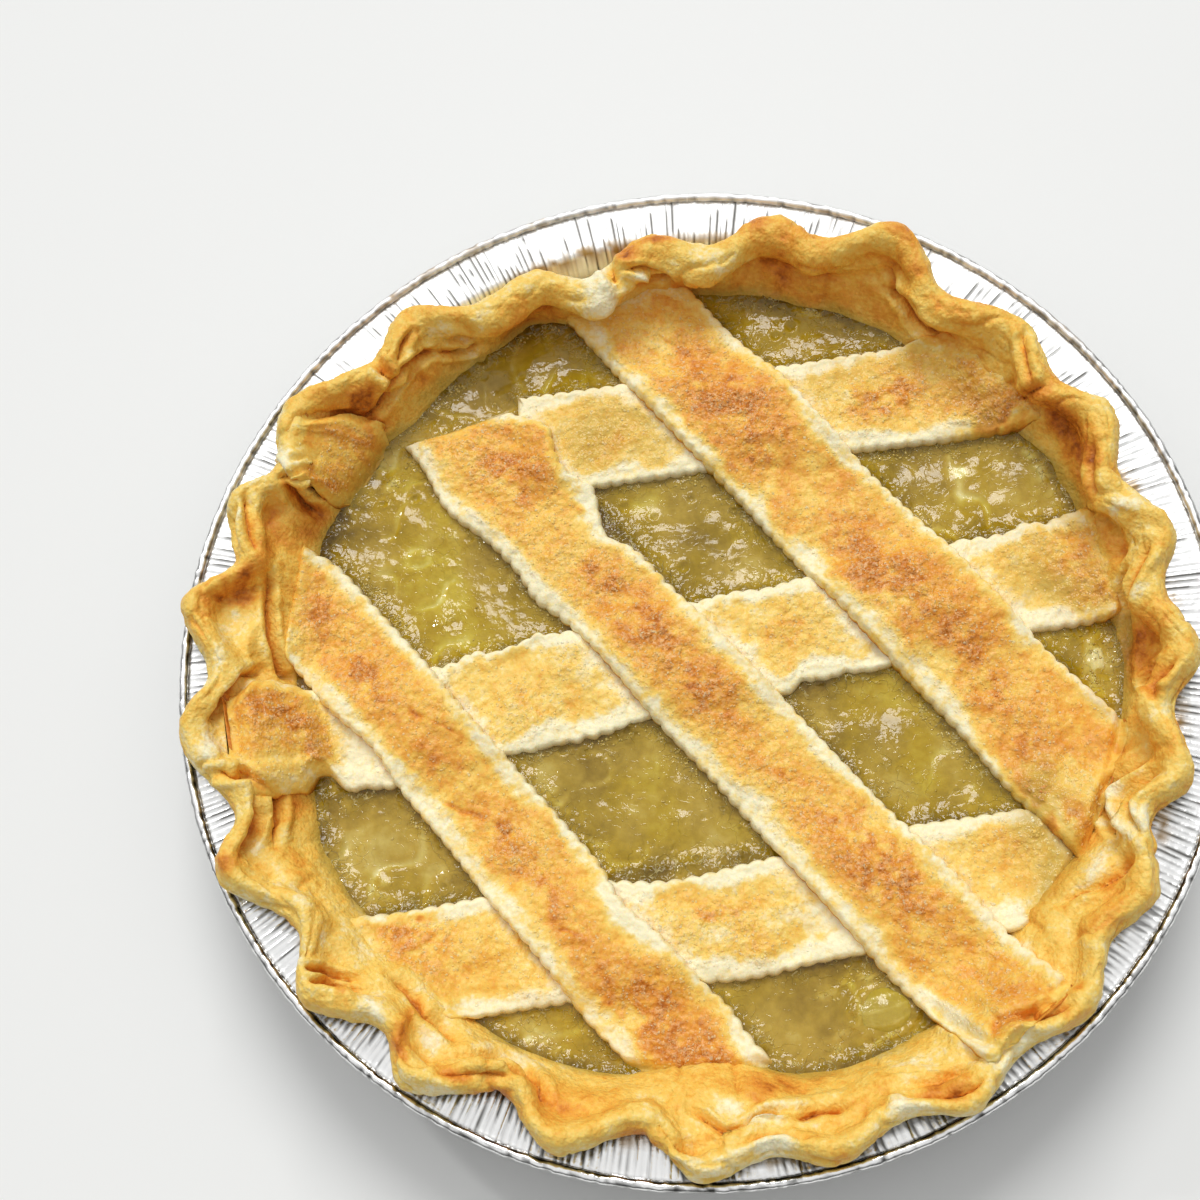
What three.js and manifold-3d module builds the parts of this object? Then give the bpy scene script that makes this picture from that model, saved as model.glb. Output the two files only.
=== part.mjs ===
// A gooseberry pie with a lattice top, standing in its own foil pan.
//
// Lengths are millimetres and +Z is up. The origin is the centre of the pan's underside.
// Bearings are degrees, clockwise from +Y when seen from above.

import * as THREE from "three";
import { mergeVertices } from "three/addons/utils/BufferGeometryUtils.js";
import Module from "manifold-3d";

// Air left between pieces that lie against each other.
const GAP = 0.3;

// Foil pan: flat base, sloping wall, flat flange and a rolled bead round the edge.
const PAN_RADIUS = 122;
const BEAD_THICK = 2.5;
const BEAD_HEIGHT = 31;
const FLANGE_INNER_RADIUS = 108.5;
const FLANGE_TOP = 30.6;
const BASE_RADIUS = 95;
const BASE_FILLET = 2;
const FOIL = 0.5;
const PAN_SEGMENTS = 60;
const BEAD_STEPS = 6;

// Pastry case: a bottom crust up the wall, and a thick rim pressed into waves.
const CRUST = 4;
const CREST_HEIGHT = 43;
const CREST_DIP = 2;
const CRIMP_DIP = 7;
const RIM_THICK = 7;
const INNER_SHOULDER = 34;
const INNER_FOOT = 28;
const CASE_SEGMENTS = 115;

// How the rim's roll is rounded on its outer side: in from its reach, and down from its crest.
// WIDEST is how far up it reaches furthest.
const OUTER_ROUND = [1.2, 2.2];
const INNER_ROUND = 2;
const WIDEST = 0.4;

// How the case's inner wall leans: back under the roll, out at its foot, and in again below
// the level of the filling.
const SHOULDER_BACK = 1.5;
const FOOT_OUT = 2.5;
const POOL_IN = 1;
const POOL_DOWN = 2;

// Where the rim reaches SEATED_REACH it sits on the flange, and touches it as far out as
// SEATED_IN short of its reach. Where it only reaches LIFTED_REACH it leaves the wall at
// LOW_LEAVE, and its underside slopes between LIFTED_OUT, past its reach.
const SEATED_REACH = 109;
const LIFTED_REACH = 103;
const SEAT = FLANGE_TOP + 2 * GAP;
const SEATED_IN = 3.5;
const SEATED_RISE = 0.1;
const HIGH_LEAVE = FLANGE_TOP - 1.2;
const LOW_LEAVE = 24;
const LIFTED_OUT = [1.5, 0.8];
const LIFTED_RISE = 1.4;

// The rim's waves: the bearing of each, and how far out of the centre it reaches.
const CRIMPS = [
  [12, 113], [27, 114], [47, 113], [62, 113], [79, 113], [94, 113], [109, 114], [123, 116],
  [136, 119], [151, 120], [165, 119], [179, 120], [194, 118], [210, 118], [224, 119], [241, 120],
  [258, 120], [273, 120], [287, 117], [300, 116], [319, 112], [337, 105], [355, 106],
];

// Filling: set gooseberries and juice, level below the rim. Its pool sits a little off centre.
const FILL_LEVEL = 24;
const FILL_RADIUS = 97.5;
const FILL_CENTRE = [2, -3];
const LUMP_HEIGHT = 0.2;
const LUMP_LENGTH = 32;
const FILL_SEGMENTS = 46;
const FILL_RINGS = [0.84, 0.62, 0.4, 0.18];

// Lattice: three strips one way, and three over them the other way, each cut with a fluted wheel.
const STRIP_THICK = 2.5;
const TOOTH_PITCH = 4.4;
const TOOTH_DEPTH = 1.3;
const SAG_LENGTH = 7;
const STRIP_HALF_LENGTH = 116;

// heading is the way a strip runs, in degrees from +X towards +Y. side is how far its middle
// line lies to the left of the centre. climb lifts its first and its last end up the rim.
const UNDER_STRIPS = [
  { name: "under_strip_upper", heading: 7, side: 56.9, width: 27, climb: [0, 0] },
  { name: "under_strip_middle", heading: 13.5, side: -4, width: 26.5, climb: [0, 0] },
  { name: "under_strip_lower", heading: 9.5, side: -64.9, width: 26, climb: [0, 0] },
];
const OVER_STRIPS = [
  { name: "over_strip_left", heading: -48, side: -62.7, width: 23, climb: [2, 0] },
  { name: "over_strip_middle", heading: -48.5, side: -6.4, width: 25.5, climb: [0, 7] },
  { name: "over_strip_right", heading: -50, side: 46.7, width: 30, climb: [0, 3] },
];
const CLIMB_START = 92;
const CLIMB_LENGTH = 14;

const FOIL_FINISH = { color: 0xd9d8d4, roughness: 0.3, metalness: 1 };
const CASE_FINISH = { color: 0xe8b95c, roughness: 0.6, metalness: 0 };
const FILL_FINISH = { color: 0xb49a52, roughness: 0.2, metalness: 0 };
const UNDER_FINISH = { color: 0xecc878, roughness: 0.6, metalness: 0 };
const OVER_FINISH = { color: 0xe6a85a, roughness: 0.6, metalness: 0 };

const wasm = await Module();
wasm.setup();

const mix = THREE.MathUtils.lerp;
const clamp = THREE.MathUtils.clamp;
const radians = THREE.MathUtils.degToRad;

// Eases from 0 to 1 as value goes from low to high.
function ease(value, low, high) {
  return THREE.MathUtils.smoothstep(value, low, high);
}

// ---- Closed bodies -----------------------------------------------------------------------

function closedGeometry(positions, triangles) {
  const geometry = new THREE.BufferGeometry();
  geometry.setAttribute("position", new THREE.Float32BufferAttribute(positions, 3));
  geometry.setIndex(triangles);
  return geometry;
}

// A body swept once round Z. sectionAt gives its outline at one bearing, as radius and height
// pairs that run outwards along the underside, up the outside and back along the top. The
// outline starts and ends on the axis. Each four-cornered patch folds along its shorter diagonal.
function sweptBody(sectionAt, segments) {
  const rim = sectionAt(0).length - 2;
  const positions = [0, 0, sectionAt(0)[0][1], 0, 0, sectionAt(0)[rim + 1][1]];
  const triangles = [];
  for (let turn = 0; turn < segments; turn += 1) {
    const bearing = (360 * turn) / segments;
    const angle = radians(90 - bearing);
    for (const [radius, height] of sectionAt(bearing).slice(1, -1)) {
      positions.push(radius * Math.cos(angle), radius * Math.sin(angle), height);
    }
  }
  const corner = (turn, step) => 2 + (turn % segments) * rim + step;
  const place = (index) => new THREE.Vector3().fromArray(positions, 3 * index);
  for (let turn = 0; turn < segments; turn += 1) {
    triangles.push(0, corner(turn, 0), corner(turn + 1, 0));
    triangles.push(1, corner(turn + 1, rim - 1), corner(turn, rim - 1));
    for (let step = 0; step < rim - 1; step += 1) {
      const a = corner(turn, step);
      const b = corner(turn, step + 1);
      const c = corner(turn + 1, step + 1);
      const d = corner(turn + 1, step);
      if (place(b).distanceTo(place(d)) < place(a).distanceTo(place(c))) {
        triangles.push(a, b, d, b, c, d);
      } else {
        triangles.push(a, b, c, a, c, d);
      }
    }
  }
  return closedGeometry(positions, triangles);
}

// A body through a row of four-cornered sections, closed at both ends.
function loftedBody(sections) {
  const positions = sections.flat(2);
  const triangles = [0, 1, 2, 0, 2, 3];
  for (let i = 0; i < sections.length - 1; i += 1) {
    for (let side = 0; side < 4; side += 1) {
      const a = 4 * i + side;
      const b = 4 * i + ((side + 1) % 4);
      triangles.push(a, b + 4, b, a, a + 4, b + 4);
    }
  }
  const last = 4 * (sections.length - 1);
  triangles.push(last, last + 2, last + 1, last, last + 3, last + 2);
  return closedGeometry(positions, triangles);
}

function solidOf(geometry) {
  const merged = mergeVertices(geometry);
  return new wasm.Manifold(new wasm.Mesh({
    numProp: 3,
    vertProperties: merged.getAttribute("position").array,
    triVerts: Uint32Array.from(merged.index.array),
  }));
}

function geometryOf(solid) {
  const mesh = solid.getMesh();
  return closedGeometry(Array.from(mesh.vertProperties), Array.from(mesh.triVerts));
}

// ---- Foil pan ----------------------------------------------------------------------------

// Radius of the wall's outer face at a height.
function wallRadius(height) {
  return mix(BASE_RADIUS, FLANGE_INNER_RADIUS, clamp(height / FLANGE_TOP, 0, 1));
}

function foilPan() {
  const beadRadius = BEAD_THICK / 2;
  const beadCentre = PAN_RADIUS - beadRadius;
  const outline = [
    new THREE.Vector2(0, 0),
    new THREE.Vector2(BASE_RADIUS - BASE_FILLET, 0),
    new THREE.Vector2(wallRadius(BASE_FILLET), BASE_FILLET),
    new THREE.Vector2(FLANGE_INNER_RADIUS, FLANGE_TOP - FOIL),
  ];
  for (let i = 0; i <= BEAD_STEPS; i += 1) {
    const angle = radians(mix(-150, 180, i / BEAD_STEPS));
    const x = beadCentre + beadRadius * Math.cos(angle);
    outline.push(new THREE.Vector2(x, BEAD_HEIGHT + beadRadius * Math.sin(angle)));
  }
  outline.push(
    new THREE.Vector2(FLANGE_INNER_RADIUS - FOIL, FLANGE_TOP),
    new THREE.Vector2(wallRadius(BASE_FILLET) - FOIL, BASE_FILLET + FOIL),
    new THREE.Vector2(BASE_RADIUS - BASE_FILLET, FOIL),
    new THREE.Vector2(0, FOIL),
  );
  return new THREE.LatheGeometry(outline, PAN_SEGMENTS).rotateX(Math.PI / 2);
}

// ---- Pastry case -------------------------------------------------------------------------

// The two waves on either side of a bearing, and how far it lies from the first to the second.
function wavesAround(bearing) {
  const count = CRIMPS.length;
  const next = CRIMPS.findIndex(([at]) => at > bearing);
  const after = next < 0 ? 0 : next;
  const before = (after + count - 1) % count;
  const span = (CRIMPS[after][0] - CRIMPS[before][0] + 360) % 360;
  const along = ((bearing - CRIMPS[before][0] + 360) % 360) / span;
  return { before: CRIMPS[before], after: CRIMPS[after], along };
}

// How far out the rim reaches, and whether that is on a wave (1) or in a dip (0).
function rimAt(bearing) {
  const { before, after, along } = wavesAround(bearing);
  const wave = 0.5 + 0.5 * Math.cos(2 * Math.PI * along);
  const reach = mix(before[1], after[1], along) - CRIMP_DIP * (1 - wave);
  return { reach, wave };
}

function fillRadius(bearing) {
  const angle = radians(90 - bearing);
  return FILL_RADIUS + FILL_CENTRE[0] * Math.cos(angle) + FILL_CENTRE[1] * Math.sin(angle);
}

// The case's inner face at one bearing, from the rim's crest down to below the filling's level.
function innerFace(bearing) {
  const { reach, wave } = rimAt(bearing);
  const crest = CREST_HEIGHT - CREST_DIP * (1 - wave);
  const pool = fillRadius(bearing);
  return [
    [reach - 0.5 * RIM_THICK, crest],
    [reach - RIM_THICK, crest - INNER_ROUND],
    [reach - RIM_THICK - SHOULDER_BACK, INNER_SHOULDER],
    [pool + FOOT_OUT, INNER_FOOT],
    [pool - POOL_IN, FILL_LEVEL - POOL_DOWN],
  ];
}

// The case's outer face. Where the rim reaches past the wall it sits on the flange, and where
// it is pressed in it leaves the wall lower down.
function outerFace(bearing) {
  const { reach, wave } = rimAt(bearing);
  const crest = CREST_HEIGHT - CREST_DIP * (1 - wave);
  const onFlange = ease(reach, LIFTED_REACH, SEATED_REACH);
  const leaves = mix(LOW_LEAVE, HIGH_LEAVE, onFlange);
  const turns = mix(reach + LIFTED_OUT[0], FLANGE_INNER_RADIUS - FOIL - GAP, onFlange);
  const parts = mix(reach + LIFTED_OUT[1], reach - SEATED_IN, onFlange);
  return [
    [wallRadius(leaves) - FOIL - GAP, leaves],
    [turns, SEAT],
    [parts, SEAT + mix(LIFTED_RISE, SEATED_RISE, onFlange)],
    [reach, mix(SEAT, crest, WIDEST)],
    [reach - OUTER_ROUND[0], crest - OUTER_ROUND[1]],
  ];
}

function pastryCase() {
  const base = FOIL + GAP;
  const foot = BASE_RADIUS - BASE_FILLET - GAP;
  return sweptBody((bearing) => [
    [0, base],
    [foot, base],
    [wallRadius(BASE_FILLET) - FOIL - GAP, BASE_FILLET + FOIL + GAP],
    ...outerFace(bearing),
    ...innerFace(bearing),
    [foot - CRUST, base + CRUST],
    [0, base + CRUST],
  ], CASE_SEGMENTS);
}

// ---- Filling -----------------------------------------------------------------------------

function fillingTop(x, y) {
  const turn = (2 * Math.PI) / LUMP_LENGTH;
  return FILL_LEVEL + LUMP_HEIGHT * Math.sin(turn * x) * Math.cos(turn * y);
}

function filling() {
  const bottom = FOIL + GAP + CRUST + GAP;
  return sweptBody((bearing) => {
    const [above, below] = innerFace(bearing).slice(-2);
    const rise = (FILL_LEVEL - below[1]) / (above[1] - below[1]);
    const edge = mix(below[0], above[0], rise) - GAP;
    const angle = radians(90 - bearing);
    const top = FILL_RINGS.map((ring) => {
      const radius = ring * edge;
      return [radius, fillingTop(radius * Math.cos(angle), radius * Math.sin(angle))];
    });
    return [
      [0, bottom],
      [BASE_RADIUS - BASE_FILLET - CRUST - 2 * GAP, bottom],
      [below[0] - GAP, below[1]],
      [edge, FILL_LEVEL],
      ...top,
      [0, fillingTop(0, 0)],
    ];
  }, FILL_SEGMENTS);
}

// ---- Lattice -----------------------------------------------------------------------------

const FILL_CLEAR = FILL_LEVEL + LUMP_HEIGHT + GAP;

function headingOf(strip) {
  return new THREE.Vector2(Math.cos(radians(strip.heading)), Math.sin(radians(strip.heading)));
}

// A point along a strip and to the left of its middle line.
function pointOn(strip, along, left) {
  const way = headingOf(strip);
  const off = strip.side + left;
  return new THREE.Vector2(along * way.x - off * way.y, along * way.y + off * way.x);
}

// The stretch of an upper strip that has any of a lower strip under it.
function crossing(upper, lower) {
  const upperWay = headingOf(upper);
  const lowerWay = headingOf(lower);
  const turn = upperWay.cross(lowerWay);
  const places = [];
  for (const upperEdge of [-0.5, 0.5]) {
    for (const lowerEdge of [-0.5, 0.5]) {
      const upperOff = upper.side + upperEdge * (upper.width + TOOTH_DEPTH);
      const lowerOff = lower.side + lowerEdge * (lower.width + TOOTH_DEPTH);
      places.push((upperOff * upperWay.dot(lowerWay) - lowerOff) / turn);
    }
  }
  return [Math.min(...places) - GAP, Math.max(...places) + GAP];
}

// Height of a strip's underside: down on the filling, over the strips below, and up the rim.
function undersideAt(strip, along, crossings) {
  const lifts = crossings.map(([start, end]) => (
    ease(along, start - SAG_LENGTH, start) * (1 - ease(along, end, end + SAG_LENGTH))
  ));
  const over = (STRIP_THICK + GAP) * Math.max(0, ...lifts);
  const half = Math.sqrt(CLIMB_START ** 2 - strip.side ** 2);
  const climb = along < 0 ? strip.climb[0] : strip.climb[1];
  return FILL_CLEAR + over + climb * ease(Math.abs(along), half, half + CLIMB_LENGTH);
}

// A long strip with fluted edges, before its ends are cut to the rim.
function longStrip(strip, crossings) {
  const sections = [];
  const steps = Math.round((2 * STRIP_HALF_LENGTH) / (TOOTH_PITCH / 2));
  for (let i = 0; i <= steps; i += 1) {
    const along = mix(-STRIP_HALF_LENGTH, STRIP_HALF_LENGTH, i / steps);
    const tooth = i % 2 === 0 ? TOOTH_DEPTH / 2 : -TOOTH_DEPTH / 2;
    const half = strip.width / 2 + tooth;
    const low = undersideAt(strip, along, crossings);
    const right = pointOn(strip, along, -half);
    const left = pointOn(strip, along, half);
    sections.push([
      [left.x, left.y, low],
      [right.x, right.y, low],
      [right.x, right.y, low + STRIP_THICK],
      [left.x, left.y, low + STRIP_THICK],
    ]);
  }
  return loftedBody(sections);
}

// All the room that a strip may not enter: the case and everything outside it, grown by the gap.
function keepOut() {
  const outside = PAN_RADIUS + 10;
  const top = CREST_HEIGHT + 10;
  const room = sweptBody((bearing) => {
    const face = innerFace(bearing).map(([radius, height]) => [radius - GAP, height]).reverse();
    return [[0, face[0][1]], ...face, [face.at(-1)[0], top], [0, top]];
  }, CASE_SEGMENTS);
  const block = new THREE.CylinderGeometry(outside, outside, 2 * top, PAN_SEGMENTS);
  block.rotateX(Math.PI / 2);
  block.deleteAttribute("normal");
  block.deleteAttribute("uv");
  return solidOf(block).subtract(solidOf(room));
}

// The strip cut to the rim, without the crumbs that the cut leaves between the waves.
function latticeStrip(strip, crossings, outside) {
  const parts = solidOf(longStrip(strip, crossings)).subtract(outside).decompose();
  parts.sort((a, b) => b.volume() - a.volume());
  return geometryOf(parts[0]);
}

// ---- The whole pie -----------------------------------------------------------------------

function piece(name, geometry, finish) {
  const mesh = new THREE.Mesh(geometry, new THREE.MeshStandardMaterial(finish));
  mesh.name = name;
  return mesh;
}

const pie = new THREE.Group();
pie.add(piece("foil_pan", foilPan(), FOIL_FINISH));
pie.add(piece("pastry_case", pastryCase(), CASE_FINISH));
pie.add(piece("filling", filling(), FILL_FINISH));

const outside = keepOut();
for (const strip of UNDER_STRIPS) {
  pie.add(piece(strip.name, latticeStrip(strip, [], outside), UNDER_FINISH));
}
for (const strip of OVER_STRIPS) {
  const crossings = UNDER_STRIPS.map((lower) => crossing(strip, lower));
  pie.add(piece(strip.name, latticeStrip(strip, crossings, outside), OVER_FINISH));
}

export default pie;
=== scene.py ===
import itertools
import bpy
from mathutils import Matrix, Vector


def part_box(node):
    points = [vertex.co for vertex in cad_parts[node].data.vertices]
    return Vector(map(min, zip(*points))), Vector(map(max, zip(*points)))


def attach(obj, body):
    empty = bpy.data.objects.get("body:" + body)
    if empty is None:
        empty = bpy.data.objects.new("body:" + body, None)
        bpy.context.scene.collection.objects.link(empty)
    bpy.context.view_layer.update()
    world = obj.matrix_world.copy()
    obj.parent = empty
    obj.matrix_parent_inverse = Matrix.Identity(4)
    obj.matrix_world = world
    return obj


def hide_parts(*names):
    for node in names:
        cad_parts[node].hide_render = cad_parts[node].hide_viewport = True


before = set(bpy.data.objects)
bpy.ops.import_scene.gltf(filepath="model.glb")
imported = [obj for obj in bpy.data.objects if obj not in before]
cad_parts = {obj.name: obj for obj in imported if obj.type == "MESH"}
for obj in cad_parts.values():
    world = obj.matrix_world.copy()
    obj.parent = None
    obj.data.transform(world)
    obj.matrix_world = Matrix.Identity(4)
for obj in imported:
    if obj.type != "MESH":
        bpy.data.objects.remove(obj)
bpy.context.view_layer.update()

from types import SimpleNamespace

import bpy
import numpy as np
from mathutils import Matrix, Vector
from mathutils.bvhtree import BVHTree

# Lengths in this file are millimetres until a mesh is made, and bearings are degrees,
# clockwise from +Y when seen from above.


# ---- The foil pan ------------------------------------------------------------------------
# A pressed foil pie pan: flat base, sloping wall, flat flange, and an edge rolled into a
# bead. Pressing gathers the wall and the flange into fine radial pleats.

MM = 0.001
pan_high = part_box("foil_pan")[1]
PAN_RADIUS = pan_high.x / MM
BEAD_RADIUS = 1.25
BEAD_LEVEL = pan_high.z / MM - BEAD_RADIUS
FLANGE_LEVEL = BEAD_LEVEL - 0.6
FLANGE_INNER = 108.5
FLANGE_FLAT = (111, PAN_RADIUS - 3.0)
FLANGE_STEPS = 8
BASE_RADIUS = 95.0
BASE_BEND = [(88.0, 0.15), (92.6, 0.2), (94.5, 0.9), (95.6, 1.9)]
WALL_STEPS = 9
FOIL = 0.3
PLEATS = 500
PLEAT_STEPS = 3
PLEAT_FOLD = [-1.0, 0.4, 0.4]
PLEAT_DEPTH = 0.42
FLANGE_PLEATS_END = (111, 121)
BEAD_TURN = 36
# Painted shade in the line where the flange meets the bead.
BEAD_SHADE = 0.55
FOIL_COLOUR = (0.97, 0.97, 0.96, 1)
# Painted shade and painted reflection of the dark room, laid into the pleats, onto the bead and onto the
# foil next to the crust.
PLEAT_SHADE_COLOUR = (0.05, 0.045, 0.035, 1)
JUICE_COLOUR = (0.36, 0.21, 0.045, 1)

# Baked-on juice and butter: bearing, radius, spread in degrees, spread in mm, strength.
FOIL_STAINS = [
    (345, 108.5, 7, 1.6, 1.0), (338, 108.6, 3, 1.2, 0.8), (352, 108.4, 4, 1.3, 0.9),
    (358, 108.3, 4, 1.4, 0.8), (4, 108.3, 3, 1.5, 0.8), (71, 110.0, 2.6, 1.6, 1.0),
    (86, 110.8, 1.6, 1.3, 0.9), (101, 111.0, 2.0, 1.6, 1.0), (114.5, 112.0, 2.2, 1.6, 1.0),
    (320, 120.8, 2.2, 1.2, 0.8), (327, 120.8, 3.0, 1.0, 0.6), (333, 120.6, 1.6, 1.2, 0.7),
    (341, 120.6, 1.2, 1.3, 0.8), (50, 120.9, 5, 0.9, 0.45), (186, 112.8, 4, 1.4, 0.5),
    (230, 112.0, 3, 1.2, 0.4), (172, 117.0, 3, 1.0, 0.4), (278, 112.5, 2, 1.0, 0.4),
]

# The crust rim's crests and dips in turn: bearing, reach from the centre, height above the bead.
RIM_WAVES = [
    (2, 102, 10.5), (12, 112, 12), (18, 107.5, 11.5), (27, 116.5, 15), (37, 106.5, 11),
    (47, 112.5, 11.5), (54.5, 107.5, 10.5), (62, 113, 12), (71, 106.5, 10.5), (79, 112.8, 12),
    (86, 107.3, 10), (94, 113.6, 12), (101, 108.3, 10), (109, 114.2, 12), (114, 109, 10.5),
    (123, 116, 11.5), (129, 113, 10.5), (136, 119.5, 11.5), (144, 116, 9.5), (151, 119.8, 11.5),
    (158, 116, 10), (165, 119.5, 11.5), (172, 116, 10), (179, 119.8, 11.5), (185, 110.8, 10),
    (194, 118, 12), (201, 110.3, 10.5), (210, 118.4, 12), (216, 112, 10.5), (224, 119.5, 12),
    (231, 110.5, 10), (241, 120, 12), (247, 112, 10.5), (258, 120.3, 12), (264, 113.2, 11),
    (273, 120.3, 12), (279, 110.5, 10.5), (287, 116.6, 12), (292, 110.5, 11), (300, 115.6, 12.5),
    (312, 106.5, 10.5), (319, 111.3, 11.5), (329, 101.5, 11), (337, 103.5, 11.5),
    (344, 97.5, 10.5), (355, 105.5, 12),
]


def at(x, y=0.0, z=0.0):
    """Points from their coordinates, each of them a number or a grid."""
    return np.stack(np.broadcast_arrays(x, y, z), axis=-1)


def lumps(points, size, seed):
    """Smooth uneven values from -1 to 1, with bumps about `size` apart."""
    place = points / size + 7.31 * seed
    cell = np.floor(place).astype(np.int64)
    part = place - cell
    part = part * part * (3 - 2 * part)
    total = np.zeros(points.shape[:-1])
    for corner in itertools.product((0, 1), repeat=3):
        mixed = ((cell + corner) * (374761393, 668265263, 974634777)).sum(axis=-1)
        mixed = (mixed + seed * 1442695041) & 0xFFFFFFFF
        mixed = ((mixed ^ (mixed >> 13)) * 1274126177) & 0xFFFFFFFF
        value = (mixed ^ (mixed >> 16)) / 2147483648.0 - 1
        total += value * np.prod(np.where(corner, part, 1 - part), axis=-1)
    return total


def ease(value, low, high):
    """0 below low, 1 above high, and smooth between them."""
    part = np.clip((value - low) / (high - low), 0, 1)
    return part * part * (3 - 2 * part)


def mix(low, high, part):
    return low + (high - low) * part


def on_plan(bearing, radius):
    """Plan position of a bearing and a radius."""
    angle = np.radians(bearing)
    return np.stack([radius * np.sin(angle), radius * np.cos(angle)], axis=-1)


def bearing_of(points):
    return np.degrees(np.arctan2(points[..., 0], points[..., 1])) % 360


def radius_of(points):
    return np.hypot(points[..., 0], points[..., 1])


def apart(bearings, bearing):
    """Signed difference of two bearings, from -180 to 180."""
    return (bearings - bearing + 180) % 360 - 180


def nearness(bearings):
    """0 on the far side of the pie and 1 on the near side."""
    return 0.5 - 0.5 * np.cos(np.radians(bearings))


def spots(points, marks):
    """Soft-edged marks, each a bearing, a radius, two spreads and a strength."""
    bearings, radii = bearing_of(points), radius_of(points)
    total = np.zeros(bearings.shape)
    for bearing, radius, wide, deep, strength in marks:
        far = (apart(bearings, bearing) / wide) ** 2 + ((radii - radius) / deep) ** 2
        total += strength * np.exp(-far)
    return total


def band_faces(turns, steps, first=0, joined=True):
    """Quads over a grid that closes on itself round its turns and, if joined, its steps."""
    turn = np.arange(turns)[:, None]
    step = np.arange(steps if joined else steps - 1)[None, :]
    after = (turn + 1) % turns
    above = (step + 1) % steps
    corners = (turn * steps + step, after * steps + step, after * steps + above, turn * steps + above)
    return np.stack([first + np.broadcast_to(c, (turns, step.size)) for c in corners], -1).reshape(-1, 4)


def round_rim(bearings, column):
    """A value of the rim's waves at each bearing, easing from each crest to the next dip."""
    stops = np.array([wave[0] for wave in RIM_WAVES], dtype=float)
    values = np.array([wave[column] for wave in RIM_WAVES], dtype=float)
    stops = np.concatenate([[stops[-1] - 360], stops, [stops[0] + 360]])
    values = np.concatenate([[values[-1]], values, [values[0]]])
    after = np.clip(np.searchsorted(stops, bearings, side="right"), 1, len(stops) - 1)
    part = (bearings - stops[after - 1]) / (stops[after] - stops[after - 1])
    return mix(values[after - 1], values[after], 0.5 - 0.5 * np.cos(np.pi * part))


def plain_mesh(name, points, faces):
    """A smooth-shaded mesh in metres from points in millimetres."""
    mesh = bpy.data.meshes.new(name)
    mesh.from_pydata((np.asarray(points) * MM).tolist(), [], [list(map(int, face)) for face in faces])
    mesh.validate()
    mesh.shade_smooth()
    return mesh


def new_piece(name, mesh, material):
    piece = bpy.data.objects.new(name, mesh)
    mesh.name = name
    mesh.materials.clear()
    mesh.materials.append(material)
    bpy.context.scene.collection.objects.link(piece)
    return piece


def set_values(mesh, name, values):
    """Stores one number for each point, for the material to read."""
    layer = mesh.attributes.new(name, "FLOAT", "POINT")
    layer.data.foreach_set("value", np.asarray(values, dtype=np.float32))


def node(tree, kind, **settings):
    """A new node, with its properties and its unlinked sockets set by name."""
    made = tree.nodes.new(kind)
    for key, value in settings.items():
        if hasattr(made, key):
            setattr(made, key, value)
        else:
            made.inputs[key.replace("_", " ")].default_value = value
    return made


def new_material(name):
    """A material whose tree holds only an output and a Principled shader."""
    material = bpy.data.materials.new(name)
    material.use_nodes = True
    tree = material.node_tree
    tree.nodes.clear()
    shader = node(tree, "ShaderNodeBsdfPrincipled")
    output = node(tree, "ShaderNodeOutputMaterial")
    tree.links.new(shader.outputs["BSDF"], output.inputs["Surface"])
    return material, tree, shader


def set_sockets(shader, **values):
    """Sets a shader's own sockets by name, with _ for each space."""
    for key, value in values.items():
        shader.inputs[key.replace("_", " ")].default_value = value


def stored(tree, name):
    """The output that reads a number stored on the mesh."""
    return node(tree, "ShaderNodeAttribute", attribute_name=name).outputs["Fac"]


def noise(tree, size, detail=2.0):
    """A noise over Object coordinates, with features about `size` millimetres across."""
    place = node(tree, "ShaderNodeTexCoord").outputs["Object"]
    texture = node(tree, "ShaderNodeTexNoise", Scale=1 / (size * MM), Detail=detail)
    tree.links.new(place, texture.inputs["Vector"])
    return texture.outputs["Fac"]


def sums(tree, operation, *terms):
    """The output of a Math node on outputs or numbers."""
    made = node(tree, "ShaderNodeMath", operation=operation)
    for socket, value in zip(made.inputs, terms):
        if isinstance(value, (int, float)):
            socket.default_value = value
        else:
            tree.links.new(value, socket)
    return made.outputs[0]


def ramp(tree, factor, stops):
    """A colour ramp over a factor, from (place, colour) stops."""
    made = node(tree, "ShaderNodeValToRGB")
    scale = made.color_ramp
    while len(scale.elements) < len(stops):
        scale.elements.new(0.5)
    for element, (place, colour) in zip(scale.elements, stops):
        element.position = place
        element.color = colour
    tree.links.new(factor, made.inputs["Fac"])
    return made.outputs["Color"]


def blend_colours(tree, factor, first, second):
    """The output of a colour mix, where each colour is an output or four numbers."""
    made = node(tree, "ShaderNodeMix", data_type="RGBA")
    tree.links.new(factor, made.inputs["Factor"])
    for socket, value in zip((made.inputs[6], made.inputs[7]), (first, second)):
        if isinstance(value, tuple):
            socket.default_value = value
        else:
            tree.links.new(value, socket)
    return made.outputs[2]


def bumps(tree, shader, height, depth):
    """Fine relief, `depth` millimetres deep, added to a shader."""
    made = node(tree, "ShaderNodeBump", Strength=1.0, Distance=depth * MM)
    tree.links.new(height, made.inputs["Height"])
    tree.links.new(made.outputs["Normal"], shader.inputs["Normal"])


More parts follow.
